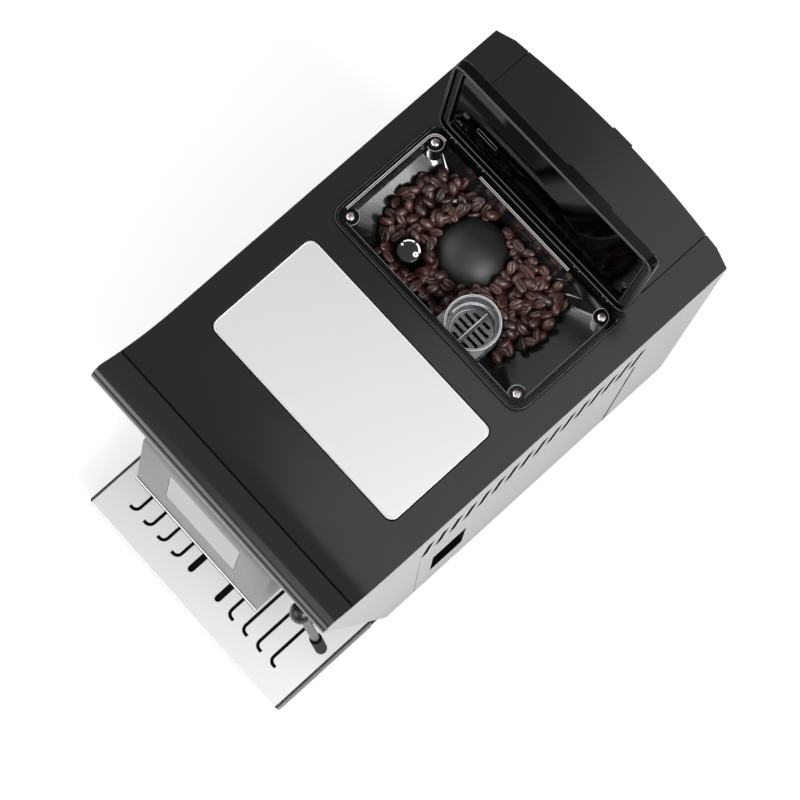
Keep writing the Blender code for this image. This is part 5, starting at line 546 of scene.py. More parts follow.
floor_mesh = bpy.data.meshes.new("studio_floor")
half = FLOOR_SIZE / 2
floor_corners = [(x * half, y * half, -FLOOR_DROP) for x, y in ((-1, -1), (1, -1), (1, 1), (-1, 1))]
floor_mesh.from_pydata(floor_corners, [], [(0, 1, 2, 3)])
floor = show("studio_floor", floor_mesh)
paper, paper_shader, paper_place = start_finish("matt_white_paper", "#f4f4f4", 0.9)
fibres = add(paper, "TexNoise", {"Vector": paper_place, "Scale": per_mm(FIBRE_MM), "Detail": 2.0})
paper_bump = add(paper, "Bump", {"Height": fibres.outputs["Fac"], "Distance": FIBRE_DEPTH_MM * MM})
plug(paper, paper_bump.outputs["Normal"], paper_shader, "Normal")
rays = add(paper, "LightPath")
seen = add(paper, "Math", {
    0: rays.outputs["Is Camera Ray"], 1: rays.outputs["Is Transmission Ray"],
}, operation="MAXIMUM")
lift = add(paper, "Math", {0: seen.outputs["Value"], 1: PAPER_LIFT}, operation="MULTIPLY")
paper_shader.inputs["Emission Color"].default_value = linear("#ffffff")
plug(paper, lift.outputs["Value"], paper_shader, "Emission Strength")
floor_mesh.materials.append(paper)

world = bpy.data.worlds.new("white_studio")
bpy.context.scene.world = world
world.use_nodes = True
sky = world.node_tree.nodes["Background"]
sky.inputs["Color"].default_value = linear("#ffffff")
sky.inputs["Strength"].default_value = SKY_STRENGTH
print("floor", FLOOR_SIZE, "m wide")

# %% [markdown]
# A large softbox hangs above, to the right of the middle, so that the black cover
# mirrors it on its right half only. A key softbox stands to the left. Two smaller
# ones to the right shine on the funnel of the hopper, and a panel in front draws the
# bright line along the nose of the lip.

# %% Softboxes
MIDDLE = (0.0, 0.0, 0.2)
FLOOR_RIGHT = (0.62, 0.25, 0.0)
HOPPER_CORNER = (-0.072, 0.12, 0.31)
NOSE_EDGE = (0.0, -0.161, 0.355)

# Each row has a place, a target, a width and a depth in metres, the power in watts,
# and whether the clear plastics show the lamp through them.
SOFTBOXES = {
    "overhead_softbox": ((0.62, 0.25, 2.6), FLOOR_RIGHT, 1.9, 3.0, 17.0, True),
    "key_softbox": ((-2.6, -0.8, 1.9), MIDDLE, 1.8, 1.8, 42.0, True),
    "hopper_softbox": ((1.5, -0.05, 1.65), HOPPER_CORNER, 1.2, 0.7, 25.0, False),
    "corner_softbox": ((1.45, -0.2, 1.7), HOPPER_CORNER, 0.5, 0.5, 14.0, False),
    "nose_panel": ((-0.6, -1.75, 1.35), NOSE_EDGE, 1.6, 1.2, 19.0, True),
}


def soft_lamp(name, place, target, width, depth, power, seen_through):
    """A rectangular softbox that faces a target."""
    lamp = bpy.data.lights.new(name, "AREA")
    lamp.shape = "RECTANGLE"
    lamp.size = width
    lamp.size_y = depth
    lamp.energy = power
    thing = show(name, lamp)
    thing.location = place
    thing.visible_transmission = seen_through
    aim = Vector(target) - Vector(place)
    if aim.x or aim.y:
        thing.rotation_euler = aim.to_track_quat("-Z", "Y").to_euler()


for name, row in SOFTBOXES.items():
    soft_lamp(name, *row)
print("softboxes:", len(SOFTBOXES))

# %% [markdown]
# The camera looks steeply down from the front right with a long lens. Its place,
# turn and lens were fitted together to corners seen in the photograph.

# %% Camera
CAMERA_PLACE = (0.22180, -0.21756, 1.73766)
CAMERA_TURN_DEGREES = (11.01237, -0.81151, 47.61008)
CAMERA_LENS = 91.806
SENSOR = 36.0

camera_data = bpy.data.cameras.new("camera")
camera_data.sensor_width = SENSOR
camera_data.lens = CAMERA_LENS
camera = show("camera", camera_data)
camera.location = CAMERA_PLACE
camera.rotation_euler = Euler([math.radians(turn) for turn in CAMERA_TURN_DEGREES], "XYZ")
bpy.context.scene.camera = camera
bpy.context.scene.view_settings.view_transform = "Standard"
print("camera at", [round(value, 3) for value in camera.location])

# %% [markdown]
# ## One coffee bean
#
# A roasted arabica bean is about 11.5 mm long, 8 mm wide and 5.5 mm thick: a dome
# on one side, nearly flat on the other, with an S-shaped crease. We could sculpt it
# from a sphere, but a loft is easier to control. Rings of points stand square to the
# bean's length, and the flat side of each ring dips where the crease runs.

# %% Bean shape
BEAN_LENGTH = 11.6 * MM
BEAN_WIDTH = 8.2 * MM
BEAN_DOME = 3.7 * MM
BEAN_FLAT = 1.6 * MM
CREASE_DEPTH = 1.5 * MM
BEAN_RINGS = 12
DOME_POINTS = 9
FLAT_STATIONS = (0.86, 0.55, 0.24, 0.10, 0.0, -0.10, -0.24, -0.55, -0.86)
CREASE_STATIONS = (3, 4, 5)
CREASE_EDGE_SHARE = 0.25
CREASE_BOWS = (-0.22, 0.05, 0.2)
FULLNESS_SHARE = 0.85


def bean_ring(share, bow):
    """Points round a bean at a share of its length, crease side up."""
    swell = math.sqrt(max(1.0 - share * share, 0.0)) ** FULLNESS_SHARE
    width = BEAN_WIDTH / 2 * swell
    ring = []
    for index in range(DOME_POINTS):
        angle = math.pi * index / (DOME_POINTS - 1)
        ring.append((math.cos(angle) * width, -math.sin(angle) * BEAN_DOME * swell))
    shift = bow * math.sin(share * math.pi) * width
    flat = []
    for number, station in enumerate(reversed(FLAT_STATIONS)):
        side = station * width
        rise = BEAN_FLAT * swell * math.sqrt(1.0 - station * station)
        if number in CREASE_STATIONS:
            dip = CREASE_DEPTH * swell
            if number != CREASE_STATIONS[1]:
                dip *= CREASE_EDGE_SHARE
            flat.append((side + shift, rise - dip))
        else:
            flat.append((side + shift * (1 - abs(station)), rise))
    return ring + flat


def bean_shape(bow):
    """Vertices, faces and crease faces of one bean."""
    vertices = [(-BEAN_LENGTH / 2, 0.0, 0.0)]
    count = DOME_POINTS + len(FLAT_STATIONS)
    for number in range(1, BEAN_RINGS):
        share = -math.cos(math.pi * number / BEAN_RINGS)
        for y, z in bean_ring(share, bow):
            vertices.append((share * BEAN_LENGTH / 2, y, z))
    vertices.append((BEAN_LENGTH / 2, 0.0, 0.0))
    faces = []
    creases = []
    middle = DOME_POINTS + CREASE_STATIONS[1]
    for number in range(BEAN_RINGS - 2):
        first = 1 + number * count
        for index in range(count):
            after = (index + 1) % count
            faces.append((first + index, first + after, first + count + after, first + count + index))
            creases.append(index in (middle - 1, middle))
    last = 1 + (BEAN_RINGS - 2) * count
    for index in range(count):
        after = (index + 1) % count
        faces.append((0, 1 + after, 1 + index))
        faces.append((len(vertices) - 1, last + index, last + after))
        creases += [False, False]
    return [Vector(vertex) for vertex in vertices], faces, creases


shapes = [bean_shape(bow) for bow in CREASE_BOWS]
print("corners of a bean:", len(shapes[0][0]))

# %% [markdown]
# ## Pouring the beans
#
# A rigid body simulation could drop the beans, but it is slow and it never lands
# twice in quite the same way. Here each bean is set down on a height map instead. A
# ray finds the funnel under every point of a fine grid. Spots over the knob, the
# chute, two of the screws and the crown of the dome are closed, so no bean stands
# there.

# %% Height map
GRID_STEP = 1.0 * MM
CLOSED = 1.0
DOME_BARE = 25.0 * MM
SKY_LIFT = 0.1


def tree_of(*nodes):
    """One search tree over several CAD nodes."""
    corners = []
    faces = []
    for node in nodes:
        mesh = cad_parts[node].data
        start = len(corners)
        corners += [vertex.co.copy() for vertex in mesh.vertices]
        faces += [[start + index for index in polygon.vertices] for polygon in mesh.polygons]
    return BVHTree.FromPolygons(corners, faces)


funnel_tree = tree_of("hopper_shell")
dome_tree = tree_of("grinder_cap")
closed_tree = tree_of("grind_knob", "powder_chute", "rim_screw_1", "rim_screw_3")
dome_low, dome_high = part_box("grinder_cap")
dome_middle = (dome_low + dome_high) / 2
shell_low, shell_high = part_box("hopper_shell")
columns = int((shell_high.x - shell_low.x) / GRID_STEP) + 1
rows = int((shell_high.y - shell_low.y) / GRID_STEP) + 1
heights = []
SKY = shell_high.z + SKY_LIFT
down = Vector((0, 0, -1))
for row in range(rows):
    line = []
    for column in range(columns):
        spot = Vector((shell_low.x + column * GRID_STEP, shell_low.y + row * GRID_STEP, SKY))
        blocked = closed_tree.ray_cast(spot, down)[0]
        ground = funnel_tree.ray_cast(spot, down)[0]
        dome = dome_tree.ray_cast(spot, down)[0]
        if dome is not None and (spot - dome_middle).xy.length < DOME_BARE:
            blocked = dome
        elif dome is not None:
            ground = dome
        if blocked is not None or ground is None:
            line.append(CLOSED)
        else:
            line.append(ground.z)
    heights.append(line)
print("height map:", columns, "by", rows)

# %% [markdown]
# A bean that lies at some angle covers an oval of grid cells. Their mean height and
# slope say how it lies. Beans stay inside the patch that they cover in the hopper.

# %% Ground under a bean
NO_DIVIDE_BY_ZERO = 1e-12
PATCH_MM = [
    (-50, 40), (-58, 44), (-65, 53), (-71, 61), (-75, 70), (-80, 80), (-83, 90), (-80, 103),
    (-77, 113), (-73, 120), (-66, 128.5), (46, 128.5), (57, 121), (61, 106), (64, 96),
    (64, 81), (58, 69), (54, 54), (45, 49), (7, 39.5),
]
patch = [(x * MM, y * MM) for x, y in PATCH_MM]


def inside(x, y, corners):
    """True where a point lies inside a polygon."""
    found = False
    for (x1, y1), (x2, y2) in zip(corners, corners[1:] + corners[:1]):
        if (y1 > y) != (y2 > y) and x < (x2 - x1) * (y - y1) / (y2 - y1) + x1:
            found = not found
    return found


def steps_near(place, low, reach):
    """Grid steps within a reach of a place along one axis."""
    return range(int((place - reach - low) / GRID_STEP), int((place + reach - low) / GRID_STEP) + 2)


def cells_under(x, y, turn, grow):
    """Grid cells under a lying bean, with how far out each lies, from 0 to 1."""
    reach = BEAN_LENGTH / 2 * grow
    cells = []
    for row in steps_near(y, shell_low.y, reach):
        for column in steps_near(x, shell_low.x, reach):
            if not (0 <= row < rows and 0 <= column < columns):
                continue
            away_x = shell_low.x + column * GRID_STEP - x
            away_y = shell_low.y + row * GRID_STEP - y
            along = (away_x * math.cos(turn) + away_y * math.sin(turn)) / reach
            across = (-away_x * math.sin(turn) + away_y * math.cos(turn)) / (BEAN_WIDTH / 2 * grow)
            far = along * along + across * across
            if far <= 1.0:
                cells.append((row, column, far, away_x, away_y))
    return cells


def slope_under(cells):
    """Mean height and the two slopes of the ground under some cells."""
    mean = sum(heights[row][column] for row, column, far, ax, ay in cells) / len(cells)
    square_x = sum(ax * ax for row, column, far, ax, ay in cells) + NO_DIVIDE_BY_ZERO
    square_y = sum(ay * ay for row, column, far, ax, ay in cells) + NO_DIVIDE_BY_ZERO
    slope_x = sum((heights[row][column] - mean) * ax for row, column, far, ax, ay in cells) / square_x
    slope_y = sum((heights[row][column] - mean) * ay for row, column, far, ax, ay in cells) / square_y
    return mean, slope_x, slope_y


print("corners of the bean patch:", len(patch))

# %% [markdown]
# Random spots are tried in turn. A bean settles between the mean and the highest
# spot under it, leans with the slope there and raises the map by its own height. The
# pile is a little higher on the left, and spots where it is full are skipped.

# %% Pour the beans
BEAN_SEED = 11
BEAN_TRIES = 9000
PILE_LEFT = 321.5 * MM
PILE_RIGHT = 317.0 * MM
PILE_X = 70.0 * MM
LEAN_MOST = math.radians(38)
CREASE_UP_SHARE = 0.62
SIZE_SHARES = (0.86, 1.08)
ROLL_SPREAD = 0.28
REST_SHARE = 0.92
MEAN_SHARE = 0.45
HIGHEST_SHARE = 0.55
TOP_SLACK = 0.5 * MM
PILE_EDGE_SHARE = 0.35
PILE_CROWN_SHARE = 0.65

dice = random.Random(BEAN_SEED)
beans = []
for attempt in range(BEAN_TRIES):
    x = dice.uniform(shell_low.x, shell_high.x)
    y = dice.uniform(shell_low.y, shell_high.y)
    turn = dice.uniform(0, math.pi)
    size = dice.uniform(*SIZE_SHARES)
    shape_choice = dice.randrange(len(shapes))
    crease_up = dice.random() < CREASE_UP_SHARE
    roll = dice.gauss(0, ROLL_SPREAD)
    if not inside(x, y, patch):
        continue
    cells = cells_under(x, y, turn, size * REST_SHARE)
    if not cells or any(heights[row][column] == CLOSED for row, column, far, ax, ay in cells):
        continue
    mean, slope_x, slope_y = slope_under(cells)
    most = max(heights[row][column] - slope_x * ax - slope_y * ay for row, column, far, ax, ay in cells)
    base = mean * MEAN_SHARE + most * HIGHEST_SHARE
    share = min(max((x - shell_low.x) / (PILE_X - shell_low.x), 0.0), 1.0)
    top = PILE_LEFT + (PILE_RIGHT - PILE_LEFT) * share
    thick = (BEAN_DOME + BEAN_FLAT) * size
    if base + thick > top + TOP_SLACK:
        continue
    lean = math.atan(math.hypot(slope_x, slope_y))
    up = Vector((-slope_x, -slope_y, 1.0)).normalized()
    if lean > LEAN_MOST:
        up = up.lerp(Vector((0, 0, 1)), 1 - LEAN_MOST / lean).normalized()
    beans.append((x, y, base + thick / 2, turn, size, shape_choice, crease_up, roll, up))
    for row, column, far, ax, ay in cells:
        rise = thick * (PILE_EDGE_SHARE + PILE_CROWN_SHARE * math.sqrt(1.0 - far))
        heights[row][column] = max(heights[row][column], base + slope_x * ax + slope_y * ay + rise)
print("beans:", len(beans))

# %% [markdown]
# All beans go into one mesh, with the faces of the crease in a second, darker finish
# that paints the shade in the crease. The shader still tells the beans apart, because
# each is an island of its own.

# %% Bean mesh
bean_vertices = []
bean_faces = []
bean_creases = []
for x, y, z, turn, size, shape_choice, crease_up, roll, up in beans:
    vertices, faces, creases = shapes[shape_choice]
    lie = up.to_track_quat("Z", "X").to_matrix().to_4x4()
    flip = Matrix.Rotation(0.0 if crease_up else math.pi, 4, "X")
    matrix = (
        Matrix.Translation((x, y, z)) @ lie @ Matrix.Rotation(turn, 4, "Z")
        @ Matrix.Rotation(roll, 4, "X") @ flip @ Matrix.Scale(size, 4)
    )
    start = len(bean_vertices)
    bean_vertices += [matrix @ vertex for vertex in vertices]
    bean_faces += [[start + index for index in face] for face in faces]
    bean_creases += creases
bean_mesh = bpy.data.meshes.new("coffee_beans")
bean_mesh.from_pydata(bean_vertices, [], bean_faces)
bean_mesh.materials.append(bean_skin)
bean_mesh.materials.append(crease_shade_skin)
for polygon, crease in zip(bean_mesh.polygons, bean_creases):
    polygon.use_smooth = True
    polygon.material_index = 1 if crease else 0
coffee_beans = show("coffee_beans", bean_mesh)
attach(coffee_beans, "housing")
print("bean faces:", len(bean_faces))

# %% [markdown]
# ## Dark cuts and seams
#
# The ventilation slots and the seams round the service door look black, because
# little light comes back out of them. So the sheet's cut edges and the floor of the
# door's grip get a black finish, as painted shade. These faces belong to CAD nodes,
# so they only get another material slot, and the mesh stays as it was packed.

# %% Paint shade on the cut edges
def paint_where(surface, node, wanted):
    """Give a second finish to the faces whose centre and normal pass a test."""
    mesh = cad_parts[node].data
    mesh.materials.append(surface)
    slot = len(mesh.materials) - 1
    count = 0
    for polygon in mesh.polygons:
        if wanted(polygon.center, polygon.normal):
            polygon.material_index = slot
            count += 1
    return count


CUT_SHARE = 0.5
POCKET_DEPTH_MM = 1.0
DULL_SPECULAR = 0.05

# Black finish that paints shade in slots, seams, gaps and the door's grip
painted_shade_black = moulded("black_painted_shade", "#040404", 0.8, 0.4, 0.004)
shade_shader = painted_shade_black.node_tree.nodes["Principled BSDF"]
shade_shader.inputs["Specular IOR Level"].default_value = DULL_SPECULAR
side_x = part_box("right_side_panel")[1][0]


def is_cut(centre, normal):
    """True for a face that looks along the sheet, so for a cut edge."""
    return abs(normal.x) < CUT_SHARE


def is_pocket(centre, normal):
    """True for a cut edge and for the floor of the door's grip."""
    return abs(normal.x) < CUT_SHARE or centre.x < side_x - POCKET_DEPTH_MM * MM


# The faces that pass these tests get the black of painted shade
tests = {"left_side_panel": is_cut, "right_side_panel": is_cut, "service_door": is_pocket}
for node, wanted in tests.items():
    print(node, "dark faces:", paint_where(painted_shade_black, node, wanted))

# %% [markdown]
# ## Beads and lines
#
# Many edges of the hopper's clear frame show as thin light lines, where a
# polished edge catches the light; here they are beads in light colours, painted
# highlights. A bead is a thin round tube along a path of points. Beads also make the
# chrome trim of the display and the painted shade in the gap round the cup plate.
# Many paths have round corners, so one function makes a level arc for all of them.

# %% The bead tool
BEAD_RESOLUTION = 2
CORNER_STEPS = 6


def beads(name, body, surface, paths, radius_mm, closed=False):
    """Thin round tubes that follow paths of points and ride on a body."""
    curve = bpy.data.curves.new(name, "CURVE")
    curve.dimensions = "3D"
    curve.bevel_depth = radius_mm * MM
    curve.bevel_resolution = BEAD_RESOLUTION
    for points in paths:
        line = curve.splines.new("POLY")
        line.points.add(len(points) - 1)
        for point, place in zip(line.points, points):
            point.co = (*place, 1.0)
        line.use_cyclic_u = closed
    curve.materials.append(surface)
    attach(show(name, curve), body)


def level_arc(x, y, z, radius, start, stop, steps):
    """Points on a level arc between two angles in degrees."""
    points = []
    for step in range(steps + 1):
        turn = math.radians(start + (stop - start) * step / steps)
        points.append((x + radius * math.cos(turn), y + radius * math.sin(turn), z))
    return points


def rounded_loop(x_low, x_high, y_low, y_high, radius, z):
    """Points round a rectangle with round corners, anticlockwise from the right."""
    points = []
    corners = (
        (x_high - radius, y_low + radius, -90), (x_high - radius, y_high - radius, 0),
        (x_low + radius, y_high - radius, 90), (x_low + radius, y_low + radius, 180),
    )
    for x, y, start in corners:
        points += level_arc(x, y, z, radius, start, start + 90, CORNER_STEPS)
    return points


chrome = brushed("chrome_plated_trim", "#e8e8e8", 0.12, "X", 0.0002)
print("bead tool ready")

# %% [markdown]
# ## Edge of the cup plate
#
# The plate's edge is rolled over and catches the light as a fine line. A black bead
# paints the shade in the gap between the plate and the cover.

# %% Plate edge and gap shade
PLATE_CORNER_MM = 8.0
ROLLED_EDGE_MM = 0.45
GAP_SHADE_MM = 0.6

low, high = (Vector(corner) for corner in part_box("cup_plate"))
inset = ROLLED_EDGE_MM * MM
beads("cup_plate_rolled_edge", "housing", plate_steel, [rounded_loop(
    low.x + inset, high.x - inset, low.y + inset, high.y - inset, PLATE_CORNER_MM * MM, high.z - inset / 2,
)], ROLLED_EDGE_MM, closed=True)
# A black bead paints the shade in the gap round the plate
reach = GAP_SHADE_MM * MM
beads("cup_plate_gap_shade", "housing", painted_shade_black, [rounded_loop(
    low.x - reach, high.x + reach, low.y - reach, high.y + reach,
    PLATE_CORNER_MM * MM + reach, high.z - reach,
)], GAP_SHADE_MM, closed=True)
print("plate", [round(value / MM, 1) for value in high - low])

# %% [markdown]
# ## Screws with a cross recess
#
# Four pan-head screws hold the hopper's frame. Each head is a shallow dome turned
# from a profile, with a cross recess cut by two tapered blades. The CAD screws stay,
# hidden, and these finer ones take their places.

# %% Turned and cut meshes
CROSS_FOOT_SHARE = 0.45


def closed_mesh(name, shape):
    """Turn a bmesh's faces outwards and return it as a mesh."""
    bmesh.ops.recalc_face_normals(shape, faces=shape.faces)
    return flat_mesh(name, shape)


def flat_mesh(name, shape):
    """Return a bmesh as a mesh and free it."""
    mesh = bpy.data.meshes.new(name)
    shape.to_mesh(mesh)
    shape.free()
    return mesh


def turned_mesh(name, profile_mm, steps):
    """A solid of revolution about Z from radius and height pairs."""
    shape = bmesh.new()
    rings = []
    for radius, z in profile_mm:
        if radius == 0.0:
            rings.append([shape.verts.new((0.0, 0.0, z * MM))])
            continue
        rings.append([
            shape.verts.new((
                radius * MM * math.cos(2 * math.pi * step / steps),
                radius * MM * math.sin(2 * math.pi * step / steps), z * MM,
            ))
            for step in range(steps)
        ])
    for upper, lower in zip(rings, rings[1:]):
        for step in range(steps):
            following = (step + 1) % steps
            if len(upper) == 1:
                shape.faces.new((upper[0], lower[step], lower[following]))
            elif len(lower) == 1:
                shape.faces.new((upper[step], lower[0], upper[following]))
            else:
                shape.faces.new((upper[step], lower[step], lower[following], upper[following]))
    return closed_mesh(name, shape)


def blade_mesh(name, long_mm, wide_mm, top_mm, deep_mm):
    """A blade that narrows downwards, for cutting half of a cross recess."""
    shape = bmesh.new()
    corners = []
    for z, share in ((top_mm, 1.0), (top_mm - deep_mm, CROSS_FOOT_SHARE)):
        for x, y in ((-1, -1), (1, -1), (1, 1), (-1, 1)):
            corners.append(shape.verts.new((x * long_mm * share * MM, y * wide_mm * share * MM, z * MM)))
    for face in ((3, 2, 1, 0), (4, 5, 6, 7), (0, 1, 5, 4), (1, 2, 6, 5), (2, 3, 7, 6), (3, 0, 4, 7)):
        shape.faces.new([corners[index] for index in face])
    return closed_mesh(name, shape)


def carved(name, mesh, cutters):
    """Cut meshes out of a mesh and return the result as a new mesh."""
    body = show(name, mesh)
    for cutter_mesh, turn in cutters:
        cutter = show("cutter", cutter_mesh)
        cutter.rotation_euler.z = turn
        cutting = body.modifiers.new("Recess", "BOOLEAN")
        cutting.object = cutter
        cutting.solver = "EXACT"
    bpy.context.view_layer.update()
    graph = bpy.context.evaluated_depsgraph_get()
    finished = bpy.data.meshes.new_from_object(body.evaluated_get(graph))
    for modifier in list(body.modifiers):
        bpy.data.objects.remove(modifier.object)
    bpy.data.objects.remove(body)
    return finished


print("turning and cutting ready")

# %% [markdown]
# The head's dome and the shank come from one profile, and the same blade cuts the
# recess twice, a quarter turn apart. Each screw stops at an angle of its own.

# %% Cross-recess screws
SCREW_PROFILE_MM = [
    (0.0, 2.3), (1.1, 2.22), (2.2, 1.9), (3.0, 1.3), (3.35, 0.55), (3.4, 0.0), (1.25, 0.0),
    (1.2, -0.4), (1.2, -7.8), (0.6, -8.6), (0.0, -8.6),
]
SCREW_STEPS = 28
CROSS_LONG_MM = 1.75
CROSS_WIDE_MM = 0.42
CROSS_DEEP_MM = 1.3
CUT_CLEAR_MM = 0.1
SCREW_TURNS = (0.5, 1.1, 0.2, 0.8)

top_mm = SCREW_PROFILE_MM[0][1] + CUT_CLEAR_MM
blade = blade_mesh("blade", CROSS_LONG_MM, CROSS_WIDE_MM, top_mm, CROSS_DEEP_MM)
screw_blank = turned_mesh("screw_blank", SCREW_PROFILE_MM, SCREW_STEPS)
screw_mesh = carved("screw", screw_blank, [(blade, 0.0), (blade, math.pi / 2)])
screw_mesh.materials.clear()
screw_mesh.materials.append(screw_steel)
for number, turn in enumerate(SCREW_TURNS, start=1):
    low, high = (Vector(corner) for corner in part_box(f"rim_screw_{number}"))
    screw = show(f"cross_screw_{number}", screw_mesh)
    screw.location = ((low.x + high.x) / 2, (low.y + high.y) / 2, high.z - top_mm * MM)
    screw.rotation_euler.z = turn
    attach(screw, "housing")
    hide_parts(f"rim_screw_{number}")
print("screw faces:", len(screw_mesh.polygons))

# %% [markdown]
# ## Marks on the grinding knob
#
# The knob sets how fine the grinder grinds. A small dot stands for fine powder, a
# large dot for coarse, and an arc in two parts that swells from one to the other
# joins them. They are printed in white on the knob's top, so each is a flat face
# just above it.

# %% Knob marks
MARK_LIFT_MM = 0.05
MARK_RADIUS_MM = 7.6
FINE_TURN = 183
COARSE_TURN = 17
FINE_DOT_MM = 0.95
COARSE_DOT_MM = 2.0
COARSE_EYE_MM = 0.55
DOT_STEPS = 20
ARC_STEPS = 14

# Each arc has its first and last angle in degrees and its first and last width in mm.
FINE_ARC = (FINE_TURN - 16, FINE_TURN - 78, 0.9, 1.2)
COARSE_ARC = (FINE_TURN - 92, COARSE_TURN + 18, 1.1, 1.7)

knob_low, knob_high = (Vector(corner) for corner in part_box("grind_knob"))
knob_middle = Vector(((knob_low.x + knob_high.x) / 2, (knob_low.y + knob_high.y) / 2, 0.0))
knob_radius = (knob_high.x - knob_low.x) / 2


def on_knob(radius_mm, degrees, lift_mm=MARK_LIFT_MM):
    """A spot on the knob from its radius, its angle and its lift over the top."""
    turn = math.radians(degrees)
    arm = Vector((math.cos(turn), math.sin(turn), 0.0)) * radius_mm * MM
    return knob_middle + arm + Vector((0.0, 0.0, knob_high.z + lift_mm * MM))


def printed(name, surface, outline):
    """A flat print on the knob, filled between its outline points."""
    shape = bmesh.new()
    shape.faces.new([shape.verts.new(point) for point in outline])
    mesh = flat_mesh(name, shape)
    mesh.materials.append(surface)
    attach(show(name, mesh), "grind_knob")


def dot_outline(radius_mm, degrees, size_mm, lift_mm=MARK_LIFT_MM):
    """The outline of a dot on the knob."""
    middle = on_knob(radius_mm, degrees, lift_mm)
    outline = level_arc(*middle, size_mm * MM, 0, 360, DOT_STEPS)
    return outline[:-1]


def arc_outline(start, stop, thin_mm, thick_mm):
    """The outline of an arc on the knob that swells from its start to its end."""
    outer = []
    inner = []
    for step in range(ARC_STEPS + 1):
        share = step / ARC_STEPS
        half = (thin_mm + (thick_mm - thin_mm) * share) / 2
        turn = start + (stop - start) * share
        outer.append(on_knob(MARK_RADIUS_MM + half, turn))
        inner.append(on_knob(MARK_RADIUS_MM - half, turn))
    return outer + inner[::-1]


printed("fine_dot", white_ink, dot_outline(MARK_RADIUS_MM - FINE_DOT_MM, FINE_TURN, FINE_DOT_MM))
printed("fine_arc", white_ink, arc_outline(*FINE_ARC))
printed("coarse_arc", white_ink, arc_outline(*COARSE_ARC))
printed("coarse_dot", white_ink, dot_outline(MARK_RADIUS_MM - COARSE_DOT_MM, COARSE_TURN, COARSE_DOT_MM))
printed("coarse_eye", lip_abs, dot_outline(
    MARK_RADIUS_MM - COARSE_DOT_MM, COARSE_TURN, COARSE_EYE_MM, MARK_LIFT_MM * 2,
))
print("marks on a knob of radius", round(knob_radius / MM, 1), "mm")

# %% [markdown]
# Fine ribs round the knob's side give the fingers a hold. Each is a short bead.

# %% Knob ribs
RIB_COUNT = 44
RIB_RADIUS_MM = 0.3
RIB_SINK_MM = 0.15
RIB_TOP_MM = 0.9
RIB_FOOT_MM = 6.0

reach_mm = knob_radius / MM - RIB_SINK_MM
ribs = []
for index in range(RIB_COUNT):
    turn = 360 * index / RIB_COUNT
    ribs.append([on_knob(reach_mm, turn, -RIB_FOOT_MM), on_knob(reach_mm, turn, -RIB_TOP_MM)])
beads("knob_ribs", "grind_knob", lip_abs, ribs, RIB_RADIUS_MM)
print("knob ribs:", RIB_COUNT)

# %% [markdown]
# ## Painted highlight lines of the hopper's frame and lid
#
# A clear moulding shows mostly by its edges. The wall that stands round the
# hopper's mouth has two polished edges that run side by side and shine; beads of
# painted highlight draw them, brighter on the left and at the rear than on the right
# and in front. They stop at the hinge and, in front, at the chute.

# %% Frame wall lines
FULL_LINE_MM = 0.32
LINE_MM = 0.3
FINE_LINE_MM = 0.25
WALL_RISE_MM = 3.2
SHELL_CORNER_MM = 9.0
WALL_INNER_MM = 2.2
WALL_OUTER_MM = 0.9
HINGE_INNER_MM = 46.0
HINGE_OUTER_MM = 82.0
CHUTE_FROM_MM, CHUTE_TO_MM = 4.0, 52.0
RIM_TOP = shell_high.z + WALL_RISE_MM * MM


def wall_path(inset_mm, parts):
    """Points along the left and rear wall of the frame at an inset from the shell."""
    inset = inset_mm * MM
    left = shell_low.x + inset
    rear = shell_high.y - inset
    radius = SHELL_CORNER_MM * MM - inset
    front = shell_low.y + SHELL_CORNER_MM * MM
    corner = level_arc(left + radius, rear - radius, RIM_TOP, radius, 180, 90, CORNER_STEPS)
    first = [(left, front, RIM_TOP)] + corner + [(-HINGE_OUTER_MM * MM, rear, RIM_TOP)]
    middle = [(-HINGE_INNER_MM * MM, rear, RIM_TOP), (HINGE_INNER_MM * MM, rear, RIM_TOP)]
    return [first, middle][:parts]


beads("frame_wall_outer_line", "housing", highlight_bright, wall_path(WALL_OUTER_MM, 2), FULL_LINE_MM)
beads("frame_wall_inner_line", "housing", highlight_bright, wall_path(WALL_INNER_MM, 2), FINE_LINE_MM)
right_wall = [(-x, y, z) for x, y, z in wall_path(WALL_INNER_MM, 1)[0]]
front_line = shell_low.y + WALL_INNER_MM * MM
front_left = shell_low.x + SHELL_CORNER_MM * MM
front_right = shell_high.x - SHELL_CORNER_MM * MM
beads("frame_wall_right_line", "housing", highlight_soft, [
    [(front_left, front_line, RIM_TOP), (CHUTE_FROM_MM * MM, front_line, RIM_TOP)],
    [(CHUTE_TO_MM * MM, front_line, RIM_TOP), (front_right, front_line, RIM_TOP)],
    right_wall,
], LINE_MM)
print("frame wall top at", round(RIM_TOP / MM, 1), "mm")

# %% [markdown]
# Each screw sits in a round ear of the frame. The ear's edge shows as a light arc, a
# bead of painted highlight, on the side that faces the middle of the hopper.

# %% Screw ear lines
EAR_MM = 6.5
EAR_LIFT_MM = 1.9
EAR_HALF_DEGREES = 80
EAR_STEPS = 12

ears = []
middle_y = (shell_low.y + shell_high.y) / 2
for number in range(1, 5):
    low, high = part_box(f"rim_screw_{number}")
    x, y = (low.x + high.x) / 2, (low.y + high.y) / 2
    inwards = math.degrees(math.atan2(middle_y - y, -x))
    ears.append(level_arc(
        x, y, shell_high.z + EAR_LIFT_MM * MM, EAR_MM * MM,
        inwards - EAR_HALF_DEGREES, inwards + EAR_HALF_DEGREES, EAR_STEPS,
    ))
beads("screw_ear_lines", "housing", highlight_mid, ears, LINE_MM)
print("ears:", len(ears))
